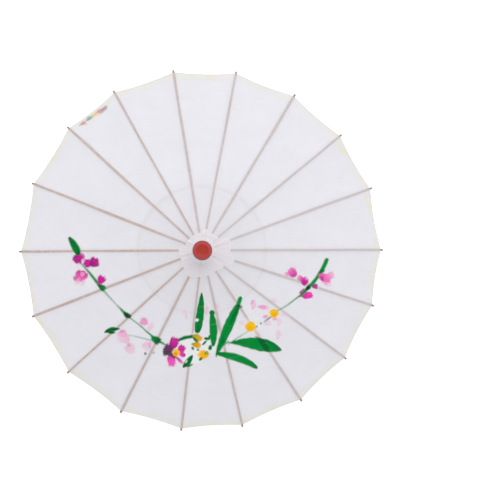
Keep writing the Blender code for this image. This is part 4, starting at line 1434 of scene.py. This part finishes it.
def shaft_profile():
    """Stick with the rings of its bamboo joints, and the turned handle below, from the top down."""
    top = [(0, 388), (3.7, 388), (4, 387.6), (4, 369.7), (5.5, 369.7)]
    joints = []
    for joint in (322, 176):
        joints += [(radius, joint + along) for radius, along in
                   ((5.5, 2.2), (5.32, 0.7), (5.6, 0), (5.42, -0.9), (5.5, -3))]
    handle = [
        (5.5, 89), (6.4, 87), (8, 84.3), (8.2, 82), (8, 79.7), (7.1, 78), (6.8, 76.6), (7.2, 71), (8.2, 62),
        (8.75, 52), (9, 42), (8.85, 32), (8.6, 24), (8.0, 17), (7.3, 13), (7.2, 11.8), (8.3, 9), (8.9, 6),
        (9, 4.4), (8.7, 2), (8.2, 0.7), (7.5, 0), (0, 0),
    ]
    return [(radius * MM, z * MM) for radius, z in top + joints + handle]


HANDLE_TOP = 88.5 * MM


def shaft():
    """The stick with its handle and the slot for the catch, and the catch's pin."""
    made = lathe("bamboo_shaft", softened(shaft_profile(), 0.6 * MM, 3), 72)
    settle(made, 35)
    catch_low, catch_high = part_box("spring_catch")
    half, through = 1.3 * MM, 9 * MM
    slot = block("catch_slot", (-half, -through, catch_low.z - 0.8 * MM),
                 (half, through, catch_high.z + 3 * MM))
    boolean(made, slot, "DIFFERENCE")
    bevel(made, 0.2 * MM, 2, 50)
    settle(made, 35)
    finish_piece(made, ROOT, SHAFT_BAMBOO, ["shaft"])
    made.data.materials.append(HANDLE_BAMBOO)
    for face in made.data.polygons:
        face.material_index = int(face.center.z < HANDLE_TOP)
    pin = lathe("pin", [(0, 5.2 * MM), (0.5 * MM, 5.1 * MM), (0.5 * MM, -5.1 * MM), (0, -5.2 * MM)], 16)
    settle(pin, 40)
    pin.name = "catch_pin"
    pin.matrix_world = Matrix.Translation((0, 0, CATCH_HEIGHT)) @ Matrix.Rotation(math.pi / 2, 4, "Y")
    finish_piece(pin, ROOT, STEEL)


def knob():
    """Turned knob: the upper points are measured from its top, the foot and the socket from its bottom."""
    outer = [(0, -0.85), (4, -0.8), (7.5, -0.55), (9.2, -0.05), (9.9, 0), (10.7, -0.45), (11.6, -1.2),
             (13.1, -3), (14.3, -5.7), (15, -8.6), (15, -12), (14.2, -14.4), (12, -17.2), (10, -19.6),
             (9.5, -21.2)]
    foot = [(9.7, 6.2), (10.5, 5), (12.2, 3.6), (12.5, 2.6), (12.5, 1), (11.5, 0)]
    socket = [(4.3, 0), (4.3, 18.3), (0, 18.3)]
    profile = [(radius * MM, level + z * MM) for level, points in
               ((KNOB_HIGH.z, outer), (KNOB_LOW.z, foot + socket)) for radius, z in points]
    made = lathe("lacquered_knob", softened(profile, 1.1 * MM, 4), 96)
    settle(made, 32)
    finish_piece(made, ROOT, LACQUER, ["finial_knob"])


def catch():
    """The CAD catch stays, with its own material and softened edges."""
    node = frame["nodes"]["spring_catch"]
    node.data.materials.clear()
    node.data.materials.append(CATCH_BAMBOO)
    bevel(node, 0.35 * MM, 3, 40)


canopy()
cap()
stretchers()
for number in range(RIB_COUNT):
    rib(number)
    binding(number)
    for side in (1, -1):
        lacing(number, side)
crown()
runner()
shaft()
knob()
catch()


# ---------------------------------------------------------------- stage, light and camera

def stage():
    """Pale floor, white surroundings and one wide soft light."""
    bm = bmesh.new()
    bmesh.ops.create_grid(bm, x_segments=1, y_segments=1, size=6)
    floor = object_from(bm, "floor")
    floor.location.z = -0.5 * MM
    look = Look("pale_floor")
    speckle = look.noise(3.0, 3)
    tone = look.ramp(speckle, [(0.3, linear(246, 246, 246)), (0.7, linear(250, 250, 250))])
    floor.data.materials.append(look.finish(Base_Color=tone, Roughness=0.9, Emission_Color=(1, 1, 1, 1),
                                            Emission_Strength=0.35, Specular_IOR_Level=0.1))
    world = bpy.data.worlds.new("studio")
    world.use_nodes = True
    world.node_tree.nodes["Background"].inputs["Color"].default_value = (1, 1, 1, 1)
    world.node_tree.nodes["Background"].inputs["Strength"].default_value = 0.80
    bpy.context.scene.world = world
    light = bpy.data.lights.new("softbox", "SUN")
    light.energy = 0.85
    light.angle = math.radians(40)
    placed("softbox", light).rotation_euler = (math.radians(-34), math.radians(6), 0)
    bpy.context.scene.view_settings.view_transform = "Standard"


LENS = 123.6
CAMERA_AIM = Vector((77.4 * MM, 0, RIDGE_OUT.z))


def camera():
    """Camera over the canopy, with the image's top towards +Y."""
    lens = bpy.data.cameras.new("camera")
    lens.lens = LENS
    made = placed("camera", lens)
    back = (CAMERA_PLACE - CAMERA_AIM).normalized()
    right = Vector((0, 1, 0)).cross(back).normalized()
    turn = Matrix((right, back.cross(right), back)).transposed().to_4x4()
    made.matrix_world = Matrix.Translation(CAMERA_PLACE) @ turn
    bpy.context.scene.camera = made


stage()
camera()
